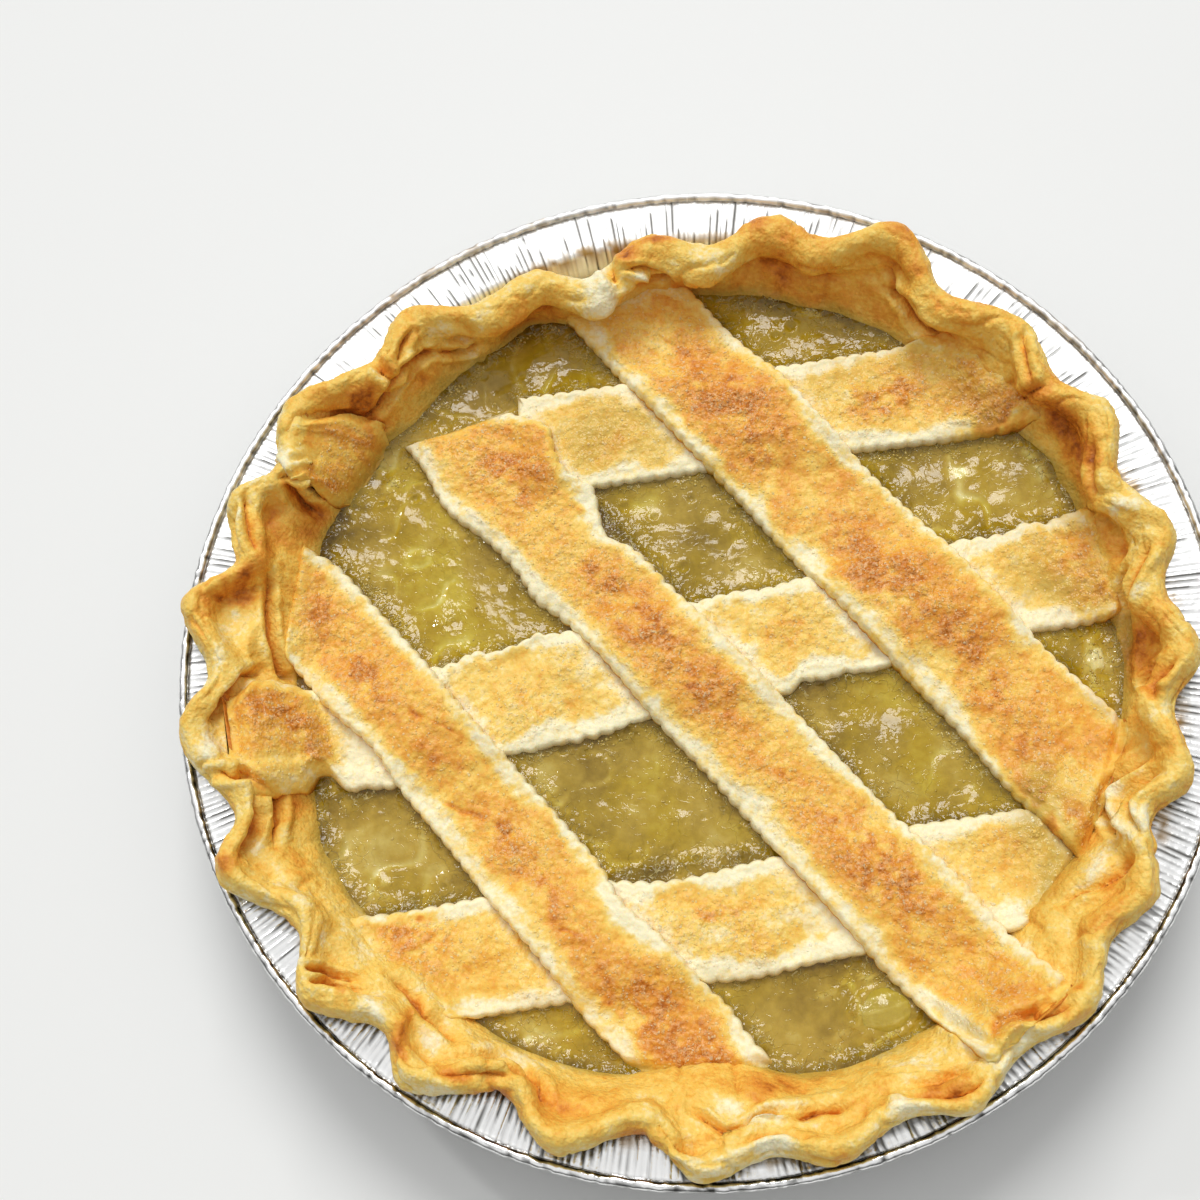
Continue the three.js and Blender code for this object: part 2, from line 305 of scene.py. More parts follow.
def foil_material():
    material, tree, shader = new_material("pressed_foil")
    stain = stored(tree, "stain")
    # The stored fold value paints shade and reflection into the pleats and onto the bead, and juice where it
    # ran into the pleats.
    shaded_foil = blend_colours(tree, stored(tree, "fold"), FOIL_COLOUR, PLEAT_SHADE_COLOUR)
    tree.links.new(blend_colours(tree, stain, shaded_foil, JUICE_COLOUR), shader.inputs["Base Color"])
    tree.links.new(sums(tree, "SUBTRACT", 1.0, stain), shader.inputs["Metallic"])
    rough = sums(tree, "MULTIPLY_ADD", noise(tree, 9), 0.14, 0.16)
    tree.links.new(sums(tree, "ADD", rough, stored(tree, "dull")), shader.inputs["Roughness"])
    bumps(tree, shader, noise(tree, 1.6, 4.0), 0.12)
    return material


def foil_section():
    """The middle of the foil from the base to the flange, as radii and levels."""
    section = list(BASE_BEND)
    for level in np.linspace(BASE_BEND[-1][1] + 1.1, FLANGE_LEVEL - 1.2, WALL_STEPS):
        section.append((mix(BASE_RADIUS, FLANGE_INNER, level / FLANGE_LEVEL), level))
    section += [(FLANGE_INNER - 0.1, FLANGE_LEVEL - 0.4), (FLANGE_INNER + 0.9, FLANGE_LEVEL - 0.1)]
    section += [(radius, FLANGE_LEVEL) for radius in np.linspace(*FLANGE_FLAT, FLANGE_STEPS)]
    section += [(PAN_RADIUS - 1.6, FLANGE_LEVEL + 0.3)]
    return np.array(section)


def outward_of(section):
    """The direction square to a section at each of its points, on its outer side."""
    way = np.gradient(section, axis=0)
    way /= np.linalg.norm(way, axis=1)[:, None]
    return np.stack([way[:, 1], -way[:, 0]], axis=1)


def pleat_shade(bearing, radii, closed, deep, length, fading):
    """How dark the pleats are painted: painted shade and painted reflection of the dark room where they
    shut, stronger on the near side, juice where it ran into them, and a painted contact shadow along the
    crust.
    """
    near = nearness(bearing)[:, None]
    closed, deep, length = closed[:, None], deep[:, None], length[:, None]
    faint = mix(2.2, 0.9, near) * ease(deep, mix(0.45, 0.3, near), 0.8) * fading
    shut = closed * (mix(0.15, 0.25, near) + faint)
    shut = shut * (0.2 + 0.8 * ease(length - radii, -1, 3)) * ease(radii, 104, 109)
    beyond = radii - round_rim(bearing, 1)[:, None]
    drip = near * closed * ease(5.5 * deep - beyond, 0, 2.5)
    drip = np.maximum(drip, 0.9 * np.roll(drip, 1, axis=0) * ease(3.2 * deep - beyond, 0, 1.5))
    # A painted contact shadow on the foil along the crust's edge.
    edge = mix(0.3, 0.8, near) * ease(1.4 - beyond, 0, 1.2)
    shade = np.maximum(np.maximum(shut * mix(1.0, 1.4, near), drip), edge)
    # A painted line of shade where the flange meets the bead.
    shade[:, -1] = BEAD_SHADE
    return shade


def rolled_bead(bearing):
    """The pan's edge rolled into a crinkled tube: its points, and how dark each is painted, with painted
    shade on its underside and painted dark and bright flecks of reflection on its crinkles, stronger on the
    near side.
    """
    angle = np.radians(np.arange(0, 360, BEAD_TURN))
    crinkle = lumps(at(bearing[:, None] * 2.1, 1.1 * np.cos(angle), 1.1 * np.sin(angle)), 1.1, 5)
    around = BEAD_RADIUS * 0.86 * (1 + 0.2 * crinkle)
    plan = on_plan(bearing[:, None], PAN_RADIUS - BEAD_RADIUS + around * np.cos(angle))
    near = nearness(bearing)[:, None]
    shade = mix(0.25, 0.6, near) * ease(-np.cos(angle), 0.4, 0.9) - mix(0.55, 1.2, near) * crinkle
    return np.dstack([plan, BEAD_LEVEL + around * np.sin(angle)]), shade


def foil_pan():
    turns = PLEATS * PLEAT_STEPS
    pleat = np.arange(turns) // PLEAT_STEPS
    rng = np.random.default_rng(11)
    uneven = rng.uniform(-0.35, 0.35, PLEATS)[pleat]
    deep = rng.uniform(0.3, 1.0, PLEATS)[pleat]
    length = rng.uniform(*FLANGE_PLEATS_END, PLEATS)[pleat]
    fold = np.tile(PLEAT_FOLD, PLEATS)
    bearing = (np.arange(turns) + uneven * PLEAT_STEPS * 0.5) * 360 / turns

    section = foil_section()
    outward = outward_of(section)
    radii = section[:, 0]
    held = ease(radii, 93, 97) * (0.8 + 0.2 * ease(radii, 104, 109))
    held *= 1 - 0.6 * ease(radii, 117, 120.5)
    fading = np.clip(0.62 + 0.8 * lumps(at(0.0, pleat[:, None] * 3.0, radii), 3.2, 6), 0.1, 1.4)
    depth = (PLEAT_DEPTH * deep * fold)[:, None] * held * fading
    shade = pleat_shade(bearing, radii, fold < 0, deep, length, fading)

    middle = section + depth[:, :, None] * outward
    outer = middle + FOIL / 2 * outward
    inner = middle - FOIL / 2 * outward
    profile = np.concatenate([outer, inner[:, ::-1]], axis=1)
    plan = on_plan(bearing[:, None], profile[:, :, 0])
    sheet = np.dstack([plan, profile[:, :, 1]]).reshape(-1, 3)
    steps = profile.shape[1]
    faces = band_faces(turns, steps, joined=False).tolist()

    under, over = len(sheet), len(sheet) + 1
    ring = np.arange(turns) * steps
    faces += [(under, b, a) for a, b in zip(ring, np.roll(ring, -1))]
    top = ring + steps - 1
    faces += [(over, a, b) for a, b in zip(top, np.roll(top, -1))]

    bead, bead_shade = rolled_bead(bearing)
    faces += band_faces(*bead.shape[:2], first=over + 1).tolist()
    points = np.vstack([sheet, [0, 0, 0.0], [0, 0, FOIL], bead.reshape(-1, 3)])
    shades = np.concatenate([shade, shade[:, ::-1]], axis=1).ravel()

    mesh = plain_mesh("foil_pan_pleated", points, faces)
    set_values(mesh, "stain", np.clip(stain_on_foil(points), 0, 1))
    set_values(mesh, "fold", np.clip(np.concatenate([shades, [0, 0], bead_shade.ravel()]), 0, 1))
    set_values(mesh, "dull", 0.36 * (1 - nearness(bearing_of(points))) ** 2)
    return mesh


def stain_on_foil(points):
    patchy = 0.55 + 0.9 * lumps(points, 1.6, 3)
    on_flange = ease(points[:, 2], FLANGE_LEVEL - 5, FLANGE_LEVEL - 1)
    return spots(points, FOIL_STAINS) * patchy * on_flange


pan = new_piece("foil_pan_pleated", foil_pan(), foil_material())
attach(pan, "root")
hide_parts("foil_pan")


# ---- The pastry case ---------------------------------------------------------------------
# Shortcrust pressed into the pan, with its edge rolled thick and pinched into waves by hand.
# It is swept round the pan, turned to one skin, then folded, creased and browned, with painted shade in its
# creases, hollows and dips.

FILL_LEVEL = 24.0
SIGHT_LEVEL = BEAD_LEVEL + 6
EYE = np.array([9.4, -116.4, 330.9 + BEAD_LEVEL])
CRUST_UNDER = 21.5
WALL_LIMIT = 102.8
CASE_TURNS = 1440
PROFILE_STEPS = 5
CASE_GRAIN = 0.6
CASE_KEPT = 0.54

# Sharp creases: depth, width, then the path as bearings and radii sighted from above.
CREASES = [
    (1.6, 0.9, [(29, 101), (31, 100), (33.5, 98.5), (35, 96), (37, 95), (40, 96)]),
    (1.0, 0.6, [(27.5, 106), (30, 102), (31, 100)]),
    (1.4, 0.8, [(47.6, 111), (48.2, 108.2), (51, 104.5), (54, 101.5)]),
    (1.1, 1.0, [(54.8, 104), (54.7, 98), (54.5, 91)]),
    (1.0, 1.0, [(65, 104.5), (67.5, 101), (70, 99), (72, 98.5)]),
    (0.5, 1.2, [(73, 108), (72.2, 103), (72, 99)]),
    (0.8, 1.6, [(74.5, 98), (77, 100.4), (79.4, 101), (81, 99.6)]),
    (1.7, 0.8, [(80, 106.5), (83, 102), (85.5, 98.8), (88, 97.2)]),
    (1.3, 1.0, [(87, 97.5), (91, 97), (96, 97), (101, 97.5)]),
    (1.5, 0.8, [(95, 107.5), (97.2, 104), (98.6, 102.2), (99.6, 103.4)]),
    (1.5, 0.8, [(107, 104), (110, 101), (112, 98.2), (114, 97), (116.5, 98.2), (118.6, 103)]),
    (1.2, 0.7, [(109, 107), (111.5, 103.5), (113.6, 101), (115.6, 103), (117, 107)]),
    (1.3, 0.8, [(119.5, 107.6), (122, 107), (124.5, 105), (126.5, 101.8), (129, 100.3)]),
    (2.0, 0.9, [(137, 114.5), (140, 112.2), (142, 109), (144, 108.2), (146.2, 110)]),
    (1.6, 0.8, [(146.2, 110), (147.6, 107), (149, 102), (149.6, 98)]),
    (1.4, 0.9, [(149, 115.5), (151.5, 116), (154, 113), (157, 110)]),
    (1.1, 0.7, [(150, 112.5), (153, 111.5), (156, 109)]),
    (1.7, 0.9, [(163.5, 109), (166, 108.3), (168.5, 109)]),
    (1.6, 0.6, [(168.2, 112.6), (170, 110.6), (172, 110.2), (175.4, 112.6)]),
    (1.7, 0.6, [(169, 107.4), (172, 107), (174, 109.5), (176.2, 110.6), (178, 108), (180, 105.4)]),
    (1.4, 0.8, [(179, 113.6), (182, 112), (183.6, 108.5)]),
    (1.3, 0.8, [(195.5, 109.5), (197, 106), (199, 104.4), (202, 104), (205, 105.6)]),
    (1.5, 0.8, [(200.5, 106), (203, 108), (206, 110.5), (208, 112)]),
    (1.5, 0.9, [(208, 104.5), (210.5, 103.6), (213, 103.6), (216, 102), (219, 102)]),
    (1.9, 0.6, [(220.4, 109), (222.6, 111.4), (225.4, 114.8)]),
    (1.7, 0.6, [(221, 107.4), (224, 110.6), (227, 113.6)]),
    (0.6, 1.2, [(227.5, 113), (229, 108.5), (232, 103.6)]),
    (1.6, 0.9, [(242, 113), (243.4, 109), (245.4, 106), (249, 104.8)]),
    (1.9, 0.9, [(241, 105.6), (244, 102.6), (247, 101.6), (249, 103.6), (251, 107.4)]),
    (1.8, 0.8, [(250.6, 105), (251.2, 109), (252.4, 114)]),
    (1.7, 0.8, [(258.6, 112), (261, 109), (262, 106), (263.8, 104), (263.8, 100)]),
    (1.9, 0.8, [(262.2, 92), (263.2, 95), (266, 96.4), (269, 98.2), (273, 99.6), (278, 101)]),
    (1.4, 0.8, [(280.6, 105), (283, 108.6), (286, 111.6), (287.6, 113.6)]),
    (1.0, 0.6, [(281, 111), (284, 114), (287, 115)]),
    (1.9, 1.0, [(288.2, 93), (288.8, 98), (289.8, 101.5), (291, 105.5)]),
    (0.7, 1.0, [(299.6, 112), (301.4, 108), (303, 103), (304.8, 97), (305.6, 94)]),
    (1.8, 0.9, [(311.4, 98), (311.7, 102), (312.3, 105.6)]),
    (1.5, 0.9, [(303.6, 97), (307, 96), (311, 97), (314, 98.6), (318, 98), (320, 96)]),
    (1.4, 0.7, [(314, 101), (316.4, 104.4), (319, 105.4)]),
    (1.8, 0.8, [(319.6, 95.6), (322, 92.6), (324.8, 91)]),
    (0.5, 1.2, [(324.2, 102), (324.8, 98), (324.6, 92)]),
    (1.6, 1.2, [(347.6, 102), (348.4, 97), (349.4, 93)]),
    (1.4, 0.8, [(350, 97), (353, 96.4), (355.6, 94), (358.4, 91)]),
    (1.6, 0.7, [(291.4, 107.5), (293, 103.5), (294.4, 101.6)]),
    (1.4, 0.6, [(294.2, 108), (295.6, 103.6)]),
    (1.6, 0.8, [(290, 102.4), (292.4, 100.4), (294, 101), (296.6, 102)]),
]

# Rolled or lifted edges: height, width, then the path. Each stands up as a soft ridge.
RIDGES = [
    (1.3, 1.5, [(48.6, 107.4), (51.4, 104.4), (54.2, 101.6)]),
    (1.1, 1.4, [(72.6, 97.4), (74.6, 98.8), (76.4, 102.6), (78.4, 103.4), (80, 101)]),
    (1.0, 1.4, [(109, 105.6), (111.4, 101.8), (113.6, 99.2), (116, 100.6), (117.6, 105)]),
    (1.0, 1.3, [(97.6, 106), (99, 104.2), (100, 104.2)]),
    (1.0, 1.4, [(170, 109), (172.4, 108.6), (175, 111.4), (177, 110.6)]),
    (1.1, 1.5, [(201, 104.6), (204, 107.4), (207, 110.8)]),
    (1.2, 1.6, [(213, 112), (214.6, 109), (214, 105)]),
    (1.0, 1.4, [(220.6, 110.6), (223, 113.2), (225.8, 116)]),
    (1.1, 1.6, [(252, 107), (254, 109), (257, 109.4), (259, 107)]),
    (1.2, 1.6, [(263, 103), (266, 104), (269, 103.4), (271, 101.4)]),
    (1.2, 1.8, [(279, 104), (282.6, 106.8), (286, 110), (289.4, 109.4)]),
    (1.3, 1.6, [(291, 102.6), (292.6, 101.2), (295, 101.6)]),
    (1.2, 1.5, [(313, 102.4), (314.6, 103.4), (316.4, 105.8), (319, 107)]),
    (1.5, 1.4, [(320.4, 94.6), (322.4, 95), (324, 92.6)]),
    (1.6, 1.1, [(350.6, 95.6), (352.6, 94.6), (354.4, 95)]),
    (1.6, 1.0, [(355.4, 93), (357.4, 92.4), (358.8, 90.6)]),
]

# Browned places, some of them painted shadow in hollows, in gaps and under overhangs of the rim, and pale
# ones that the oven missed: bearing, radius, two spreads, strength.
BROWNED_AND_SHADOWED = [
    (8.5, 110.5, 2.2, 3.5, 0.42), (27.5, 118, 3.2, 2.6, 0.25), (29, 109, 3.6, 4.5, 0.3),
    (12, 103, 3, 3, 0.14), (41.5, 102, 1.6, 3, 0.22), (51, 97, 4, 5, 0.16), (61.5, 103, 4.6, 4.6, 0.55),
    (67, 102.5, 1.6, 2, 0.2), (78, 97.5, 2.2, 1.6, 0.3), (92, 112, 2.4, 1.6, 0.2),
    (92, 102.5, 4.5, 3, 0.18), (99.6, 104, 0.9, 1.2, 0.35), (110, 112.8, 1.8, 1.6, 0.3),
    (124, 106.5, 4, 1.0, 0.16), (127, 110.5, 1, 1.6, 0.28), (130.4, 107, 1.4, 1.2, 0.2),
    (135, 113.5, 0.9, 1.0, 0.35), (137.6, 117.6, 2.6, 2.4, 0.32), (142, 110.6, 2.4, 1.2, 0.3),
    (151.6, 114.4, 2.2, 2.0, 0.5), (154, 112, 1.6, 1.2, 0.4), (165.6, 118, 2, 1.6, 0.25),
    (166.2, 108.8, 1.9, 1.0, 0.55), (170, 103, 5, 2.4, 0.26), (178, 111, 1.4, 0.9, 0.2),
    (184.5, 111.4, 1.8, 1.2, 0.22), (194.6, 109, 2, 1.2, 0.24), (192, 105.6, 2, 1.2, 0.2),
    (206, 111.4, 2.2, 1.6, 0.36), (214.4, 108, 0.9, 4, 0.42), (213.4, 113, 1, 1.4, 0.4),
    (215, 102.3, 2.4, 1, 0.24), (223, 112.4, 2.2, 0.9, 0.3), (236, 103, 4, 2, 0.14),
    (242, 117.6, 1.8, 2.4, 0.4), (244, 108.6, 1.6, 2.6, 0.22), (249, 112, 1.5, 1.5, 0.16),
    (259, 106, 2, 2.6, 0.22), (274.5, 107.5, 2.6, 3.6, 0.42), (277.6, 107, 1.6, 1.8, 0.5),
    (273, 114, 3, 2.6, 0.26), (275, 111.4, 1.8, 1.2, 0.36), (286, 104.6, 3.4, 2.4, 0.18),
    (289.6, 100, 1, 3, 0.3), (291, 104.6, 0.7, 1.6, 0.34), (306, 101, 2.8, 3.2, 0.42),
    (303, 110, 2, 3, 0.18), (312.6, 101.4, 1.1, 2.4, 0.34), (317.6, 103.6, 1.5, 1.2, 0.2),
    (318, 98.6, 3, 1.4, 0.2), (337, 95, 4, 3, 0.26), (330.5, 97, 1.2, 2, 0.14),
    (351, 101.6, 1.6, 3, 0.42), (356, 105.4, 2.4, 1.2, 0.42), (355, 99, 3, 3, 0.16),
    (353, 92.4, 1.6, 1.2, 0.26), (171.5, 101, 6, 2.2, 0.4), (333, 90, 5, 4.5, 0.3),
    (307.5, 99, 2.4, 2, 0.2), (288.5, 94, 1.2, 3, 0.3), (279, 104, 4, 4, 0.3), (304.5, 94, 1, 3, 0.3),
    (245.5, 99, 2, 3, 0.3), (306.5, 101, 3.2, 4.4, 0.42), (359, 89.5, 4, 3, 0.35),
    (94, 101, 4, 3.6, 0.28), (26.5, 117.5, 3, 1.6, 0.2), (12.5, 99, 3, 4, 0.2),
    (60, 100.5, 4.5, 3.2, 0.35), (66, 101, 3, 2.6, 0.3), (68.5, 97.4, 4, 1.3, 0.3),
    (305.6, 93, 1, 3, 0.35), (355, 104.4, 4, 1, 0.3), (350.4, 101, 1.4, 3, 0.2), (129, 97, 6, 2, 0.2),
    (288, 97, 1.5, 4, 0.3), (286, 94, 3, 3, 0.25), (315, 92, 7, 4, 0.2),
]
PALE = [
    (2, 98, 3, 4, 0.2), (52.4, 104.6, 2.4, 1.2, 0.26), (69, 102.8, 1.8, 1.8, 0.2),
    (74, 104, 1.5, 3.4, 0.18), (76, 101.6, 2, 1.6, 0.22), (86, 102.5, 1.5, 4, 0.3),
    (101, 107.5, 1.2, 3, 0.28), (113, 99.6, 3.4, 1.6, 0.24), (116.4, 104, 1.6, 4, 0.18),
    (114.4, 107, 1, 3, 0.2), (122, 102.6, 2.2, 2.2, 0.28), (145, 113, 3.4, 2.8, 0.26),
    (157.6, 112.6, 1.8, 3, 0.28), (153, 106.5, 4, 2, 0.1), (172, 113.4, 2.6, 1.8, 0.22),
    (175.4, 105, 1.8, 2.2, 0.34), (210.4, 108.6, 1.8, 2.6, 0.3), (206, 103, 5, 1.6, 0.14),
    (218, 110, 2.4, 3, 0.2), (228.6, 109, 1.4, 4, 0.18), (242, 109.4, 1.4, 2.4, 0.24),
    (255.5, 113.5, 3.2, 4, 0.22), (252, 102.6, 2, 2.4, 0.18), (266, 110.6, 3, 1.4, 0.18),
    (272.2, 107.6, 0.9, 1.2, 0.4), (279, 100.6, 1.2, 0.9, 0.3), (283, 112.4, 3, 2, 0.2),
    (311, 101, 0.8, 3.4, 0.3), (321.6, 101.6, 2.4, 3.4, 0.3), (322.6, 93, 1.4, 1.8, 0.34),
    (329, 99.6, 2.6, 3.4, 0.24), (345.5, 92, 3.2, 8, 0.4), (352.4, 95, 1.6, 0.9, 0.3),
    (357, 92.4, 1.6, 0.9, 0.34), (344, 99, 4, 2.4, 0.14),
]

# Pastry flooded with juice: bearing, radius, two spreads, strength.
FLOODED = [
    (71, 92, 5, 4, 0.8), (76, 96, 3, 2, 0.3), (99, 93, 5, 3, 0.4), (119, 87, 6, 5, 0.75),
    (126, 96, 6, 3, 0.6), (250, 89, 3, 2, 0.4), (297, 88, 5, 4, 0.4), (200, 96, 8, 2, 0.2),
    (315, 89, 7, 3, 0.5),
]

CRUST_TONES = [
    (0.0, (0.98, 0.90, 0.60, 1)), (0.25, (0.95, 0.67, 0.165, 1)), (0.42, (0.92, 0.55, 0.095, 1)),
    (0.55, (0.86, 0.42, 0.06, 1)), (0.7, (0.79, 0.315, 0.04, 1)), (0.85, (0.60, 0.19, 0.022, 1)),
    (1.0, (0.33, 0.09, 0.014, 1)),
]
SOAKED_COLOUR = (0.52, 0.35, 0.06, 1)
MELTED_SUGAR = (0.95, 0.62, 0.30, 1)
SUGAR_COLOUR = (0.99, 0.82, 0.50, 1)


# Where the case spreads in over the filling: bearing, half-width in degrees, how far in.
POOL_DENTS = [
    (178, 8, 7.5), (129, 9, 7), (112, 8, 3.5), (80, 7, 4.5), (47, 9, 4), (345.5, 6, 4.5),
    (219, 8, 3), (255, 8, 3), (275, 8, 3), (334, 4, -2), (313, 7, 2),
]


def pool_radius(bearings):
    """Where the filling meets the case. The pool lies a little towards +X and -Y."""
    angle = np.radians(bearings)
    radius = 97.5 + 2.0 * np.sin(angle) - 3.0 * np.cos(angle)
    for bearing, wide, deep in POOL_DENTS:
        radius = radius - deep * np.exp(-((apart(bearings, bearing) / wide) ** 2))
    return radius


def rim_section(bearings):
    """The case's outline at each bearing, as a ring of (radius, level) corners."""
    along = at(bearings)
    reach = round_rim(bearings, 1) + 0.5 * lumps(along, 5, 21)
    height = round_rim(bearings, 2) + 0.6 * lumps(along, 4, 22)
    pool = pool_radius(bearings) + 0.5 * lumps(along, 6, 23)
    thick = mix(10.6, 6.8, nearness(bearings)) + 0.6 * lumps(along, 6, 24)
    for bearing, wide, more in ((345.5, 6, 2.5), (3, 5, 2)):
        thick = thick + more * np.exp(-((apart(bearings, bearing) / wide) ** 2))
    seated = ease(reach, 103, 109)
    inside = reach - thick
    over_flange = ease(inside, 104, 109)
    recess = np.clip(pool + 6.5, inside - 1.2, inside + 3.4)
    recess_level = mix(2.2, 4.8, over_flange)
    level = BEAD_LEVEL
    corners = [
        (pool - 1.5, CRUST_UNDER),
        (WALL_LIMIT, CRUST_UNDER),
        (np.minimum(106.2, reach + 3), 28.0),
        (mix(reach + 1.4, 108.2, seated), level),
        (mix(reach + 0.5, reach - 2.8, seated), level + mix(2.4, 0.9, seated)),
        (reach, level + 0.45 * height),
        (reach - 0.17 * thick, level + 0.83 * height),
        (reach - 0.5 * thick, level + height),
        (inside + 0.15 * thick, level + 0.85 * height),
        (inside, level + 0.5 * height),
        (recess, level + recess_level),
        ((recess + pool + 2) / 2, (27.5 + level + recess_level) / 2 + 1.7 * over_flange),
        (pool + 1.2, 25.5),
        (pool - 0.6, 22.9),
    ]
    rings = [[np.broadcast_to(value, reach.shape) for value in corner] for corner in corners]
    return np.array(rings).transpose(2, 0, 1)


def smooth_rings(rings, steps):
    """Puts `steps` points between the corners of closed rings, on a curve through them."""
    part = (np.arange(steps) / steps)[None, None, :, None]
    before, here = np.roll(rings, 1, axis=1)[:, :, None], rings[:, :, None]
    after, beyond = np.roll(rings, -1, axis=1)[:, :, None], np.roll(rings, -2, axis=1)[:, :, None]
    curve = 0.5 * (
        2 * here + (after - before) * part
        + (2 * before - 5 * here + 4 * after - beyond) * part**2
        + (3 * here - before - 3 * after + beyond) * part**3
    )
    return curve.reshape(len(rings), -1, 2)


def sighted(points):
    """Where points appear on the level plane at SIGHT_LEVEL, looked at from the eye."""
    share = (SIGHT_LEVEL - EYE[2]) / (points[..., 2] - EYE[2])
    return (EYE + (points - EYE) * share[..., None])[..., :2]


def near_path(plan, path):
    """How far each plan point is from a path of bearings and radii, and how far along it."""
    corners = on_plan(*np.array(path, dtype=float).T)
    best = np.full(len(plan), 1e3)
    along = np.zeros(len(plan))
    for index, (start, end) in enumerate(zip(corners, corners[1:])):
        way = end - start
        part = np.clip((plan - start) @ way / (way @ way), 0, 1)
        gap = np.hypot(*(plan - start - part[:, None] * way).T)
        closer = gap < best
        best = np.where(closer, gap, best)
        along = np.where(closer, (index + part) / (len(corners) - 1), along)
    return best, along


def path_relief(plan, paths, profile):
    """Sums the height of every drawn path at each plan point, thinning out at its ends."""
    total = np.zeros(len(plan))
    for height, width, path in paths:
        corners = on_plan(*np.array(path, dtype=float).T)
        low, high = corners.min(0) - 4 * width, corners.max(0) + 4 * width
        close = np.flatnonzero(((plan > low) & (plan < high)).all(axis=1))
        gap, along = near_path(plan[close], path)
        fade = np.clip(5 * np.minimum(along, 1 - along) + 0.3, 0, 1)
        total[close] += height * fade * profile(gap / width)
    return total


def round_profile(gap):
    return np.exp(-(gap**2))


def fold_profile(gap):
    """A sharp groove between two puffed shoulders."""
    return np.exp(-1.1 * gap) - 0.35 * np.exp(-((gap - 2.6) ** 2) / 1.6)


def points_of(mesh):
    points = np.zeros(len(mesh.vertices) * 3)
    mesh.vertices.foreach_get("co", points)
    return points.reshape(-1, 3) / MM


def normals_of(mesh):
    normals = np.zeros(len(mesh.vertices) * 3)
    mesh.vertices.foreach_get("normal", normals)
    return normals.reshape(-1, 3)


def move_points(mesh, points):
    mesh.vertices.foreach_set("co", (points * MM).ravel())
    mesh.update()


def carrier_of(mesh):
    """An object that carries a mesh while modifiers work on it."""
    carrier = bpy.data.objects.new("carrier", mesh)
    bpy.context.scene.collection.objects.link(carrier)
    return carrier


def finished_mesh(carrier):
    """The plain mesh that a carrier's modifiers make. The carrier is removed."""
    ready = carrier.evaluated_get(bpy.context.evaluated_depsgraph_get())
    mesh = bpy.data.meshes.new_from_object(ready)
    bpy.data.objects.remove(carrier)
    return mesh


def one_skin(mesh, grain, smoothing):
    """The mesh remade as one closed skin of even faces, `grain` millimetres across."""
    rough = carrier_of(mesh)
    remesh = rough.modifiers.new("skin", "REMESH")
    remesh.mode = "VOXEL"
    remesh.voxel_size = grain * MM
    relax = rough.modifiers.new("relax", "SMOOTH")
    relax.factor = 0.5
    relax.iterations = smoothing
    skin = finished_mesh(rough)
    skin.shade_smooth()
    return skin


def thinned(mesh, share):
    """The mesh with its flatter stretches in fewer faces, down to a share of its faces."""
    full = carrier_of(mesh)
    full.modifiers.new("collapse", "DECIMATE").ratio = share
    thin = finished_mesh(full)
    thin.shade_smooth()
    return thin


def unevenness(points, *layers):
    """Lumps on lumps: each layer is a strength, a size and a seed."""
    return sum(strength * lumps(points, size, seed) for strength, size, seed in layers)


def uneven_bake(points):
    """The case's patchy colour before its browned and pale places are added."""
    return 0.32 + unevenness(points, (0.15, 11, 31), (0.13, 4, 32), (0.09, 1.5, 33))


def crust_tone(points, normals, sight):
    """How dark each point of the case is, from 0, pale, to 1, dark: how far it has browned, with painted
    shade added in the dips, on the far inner wall and in shadowed hollows.
    """
    bearings, radii = bearing_of(points), radius_of(points)
    reach, height = round_rim(bearings, 1), round_rim(bearings, 2)
    near = nearness(bearings)
    rise = (points[:, 2] - BEAD_LEVEL) / height
    outward = (normals[:, :2] * points[:, :2]).sum(axis=1) / radii
    outer = ease(outward, 0.25, 0.8) * ease(radii, 98, 104)
    crest = ease(rise, 0.75, 1.0)
    wall = (1 - ease(rise, 0.1, 0.5)) * ease(-outward, 0.1, 0.7)
    wave = ease(reach, 108, 115)
    # Painted shade: the outer faces of the dips are darkened on the near side, and the lower inner wall on
    # the far side; the inward faces at the crests are a little darker, partly butter and partly painted
    # shade.
    tone = uneven_bake(points) + mix(0.4 * near, -0.08, wave) * outer * (1 - crest)
    tone += 0.07 * crest * (1 - near) - 0.06 * crest * near
    tone += wall * mix(0.14, -0.02, near)
    tone += 0.05 * wave * ease(-outward, 0.0, 0.5)
    patchy = 0.88 + 0.4 * lumps(points, 2.2, 34)
    return tone + patchy * spots(sight, BROWNED_AND_SHADOWED) - spots(sight, PALE)


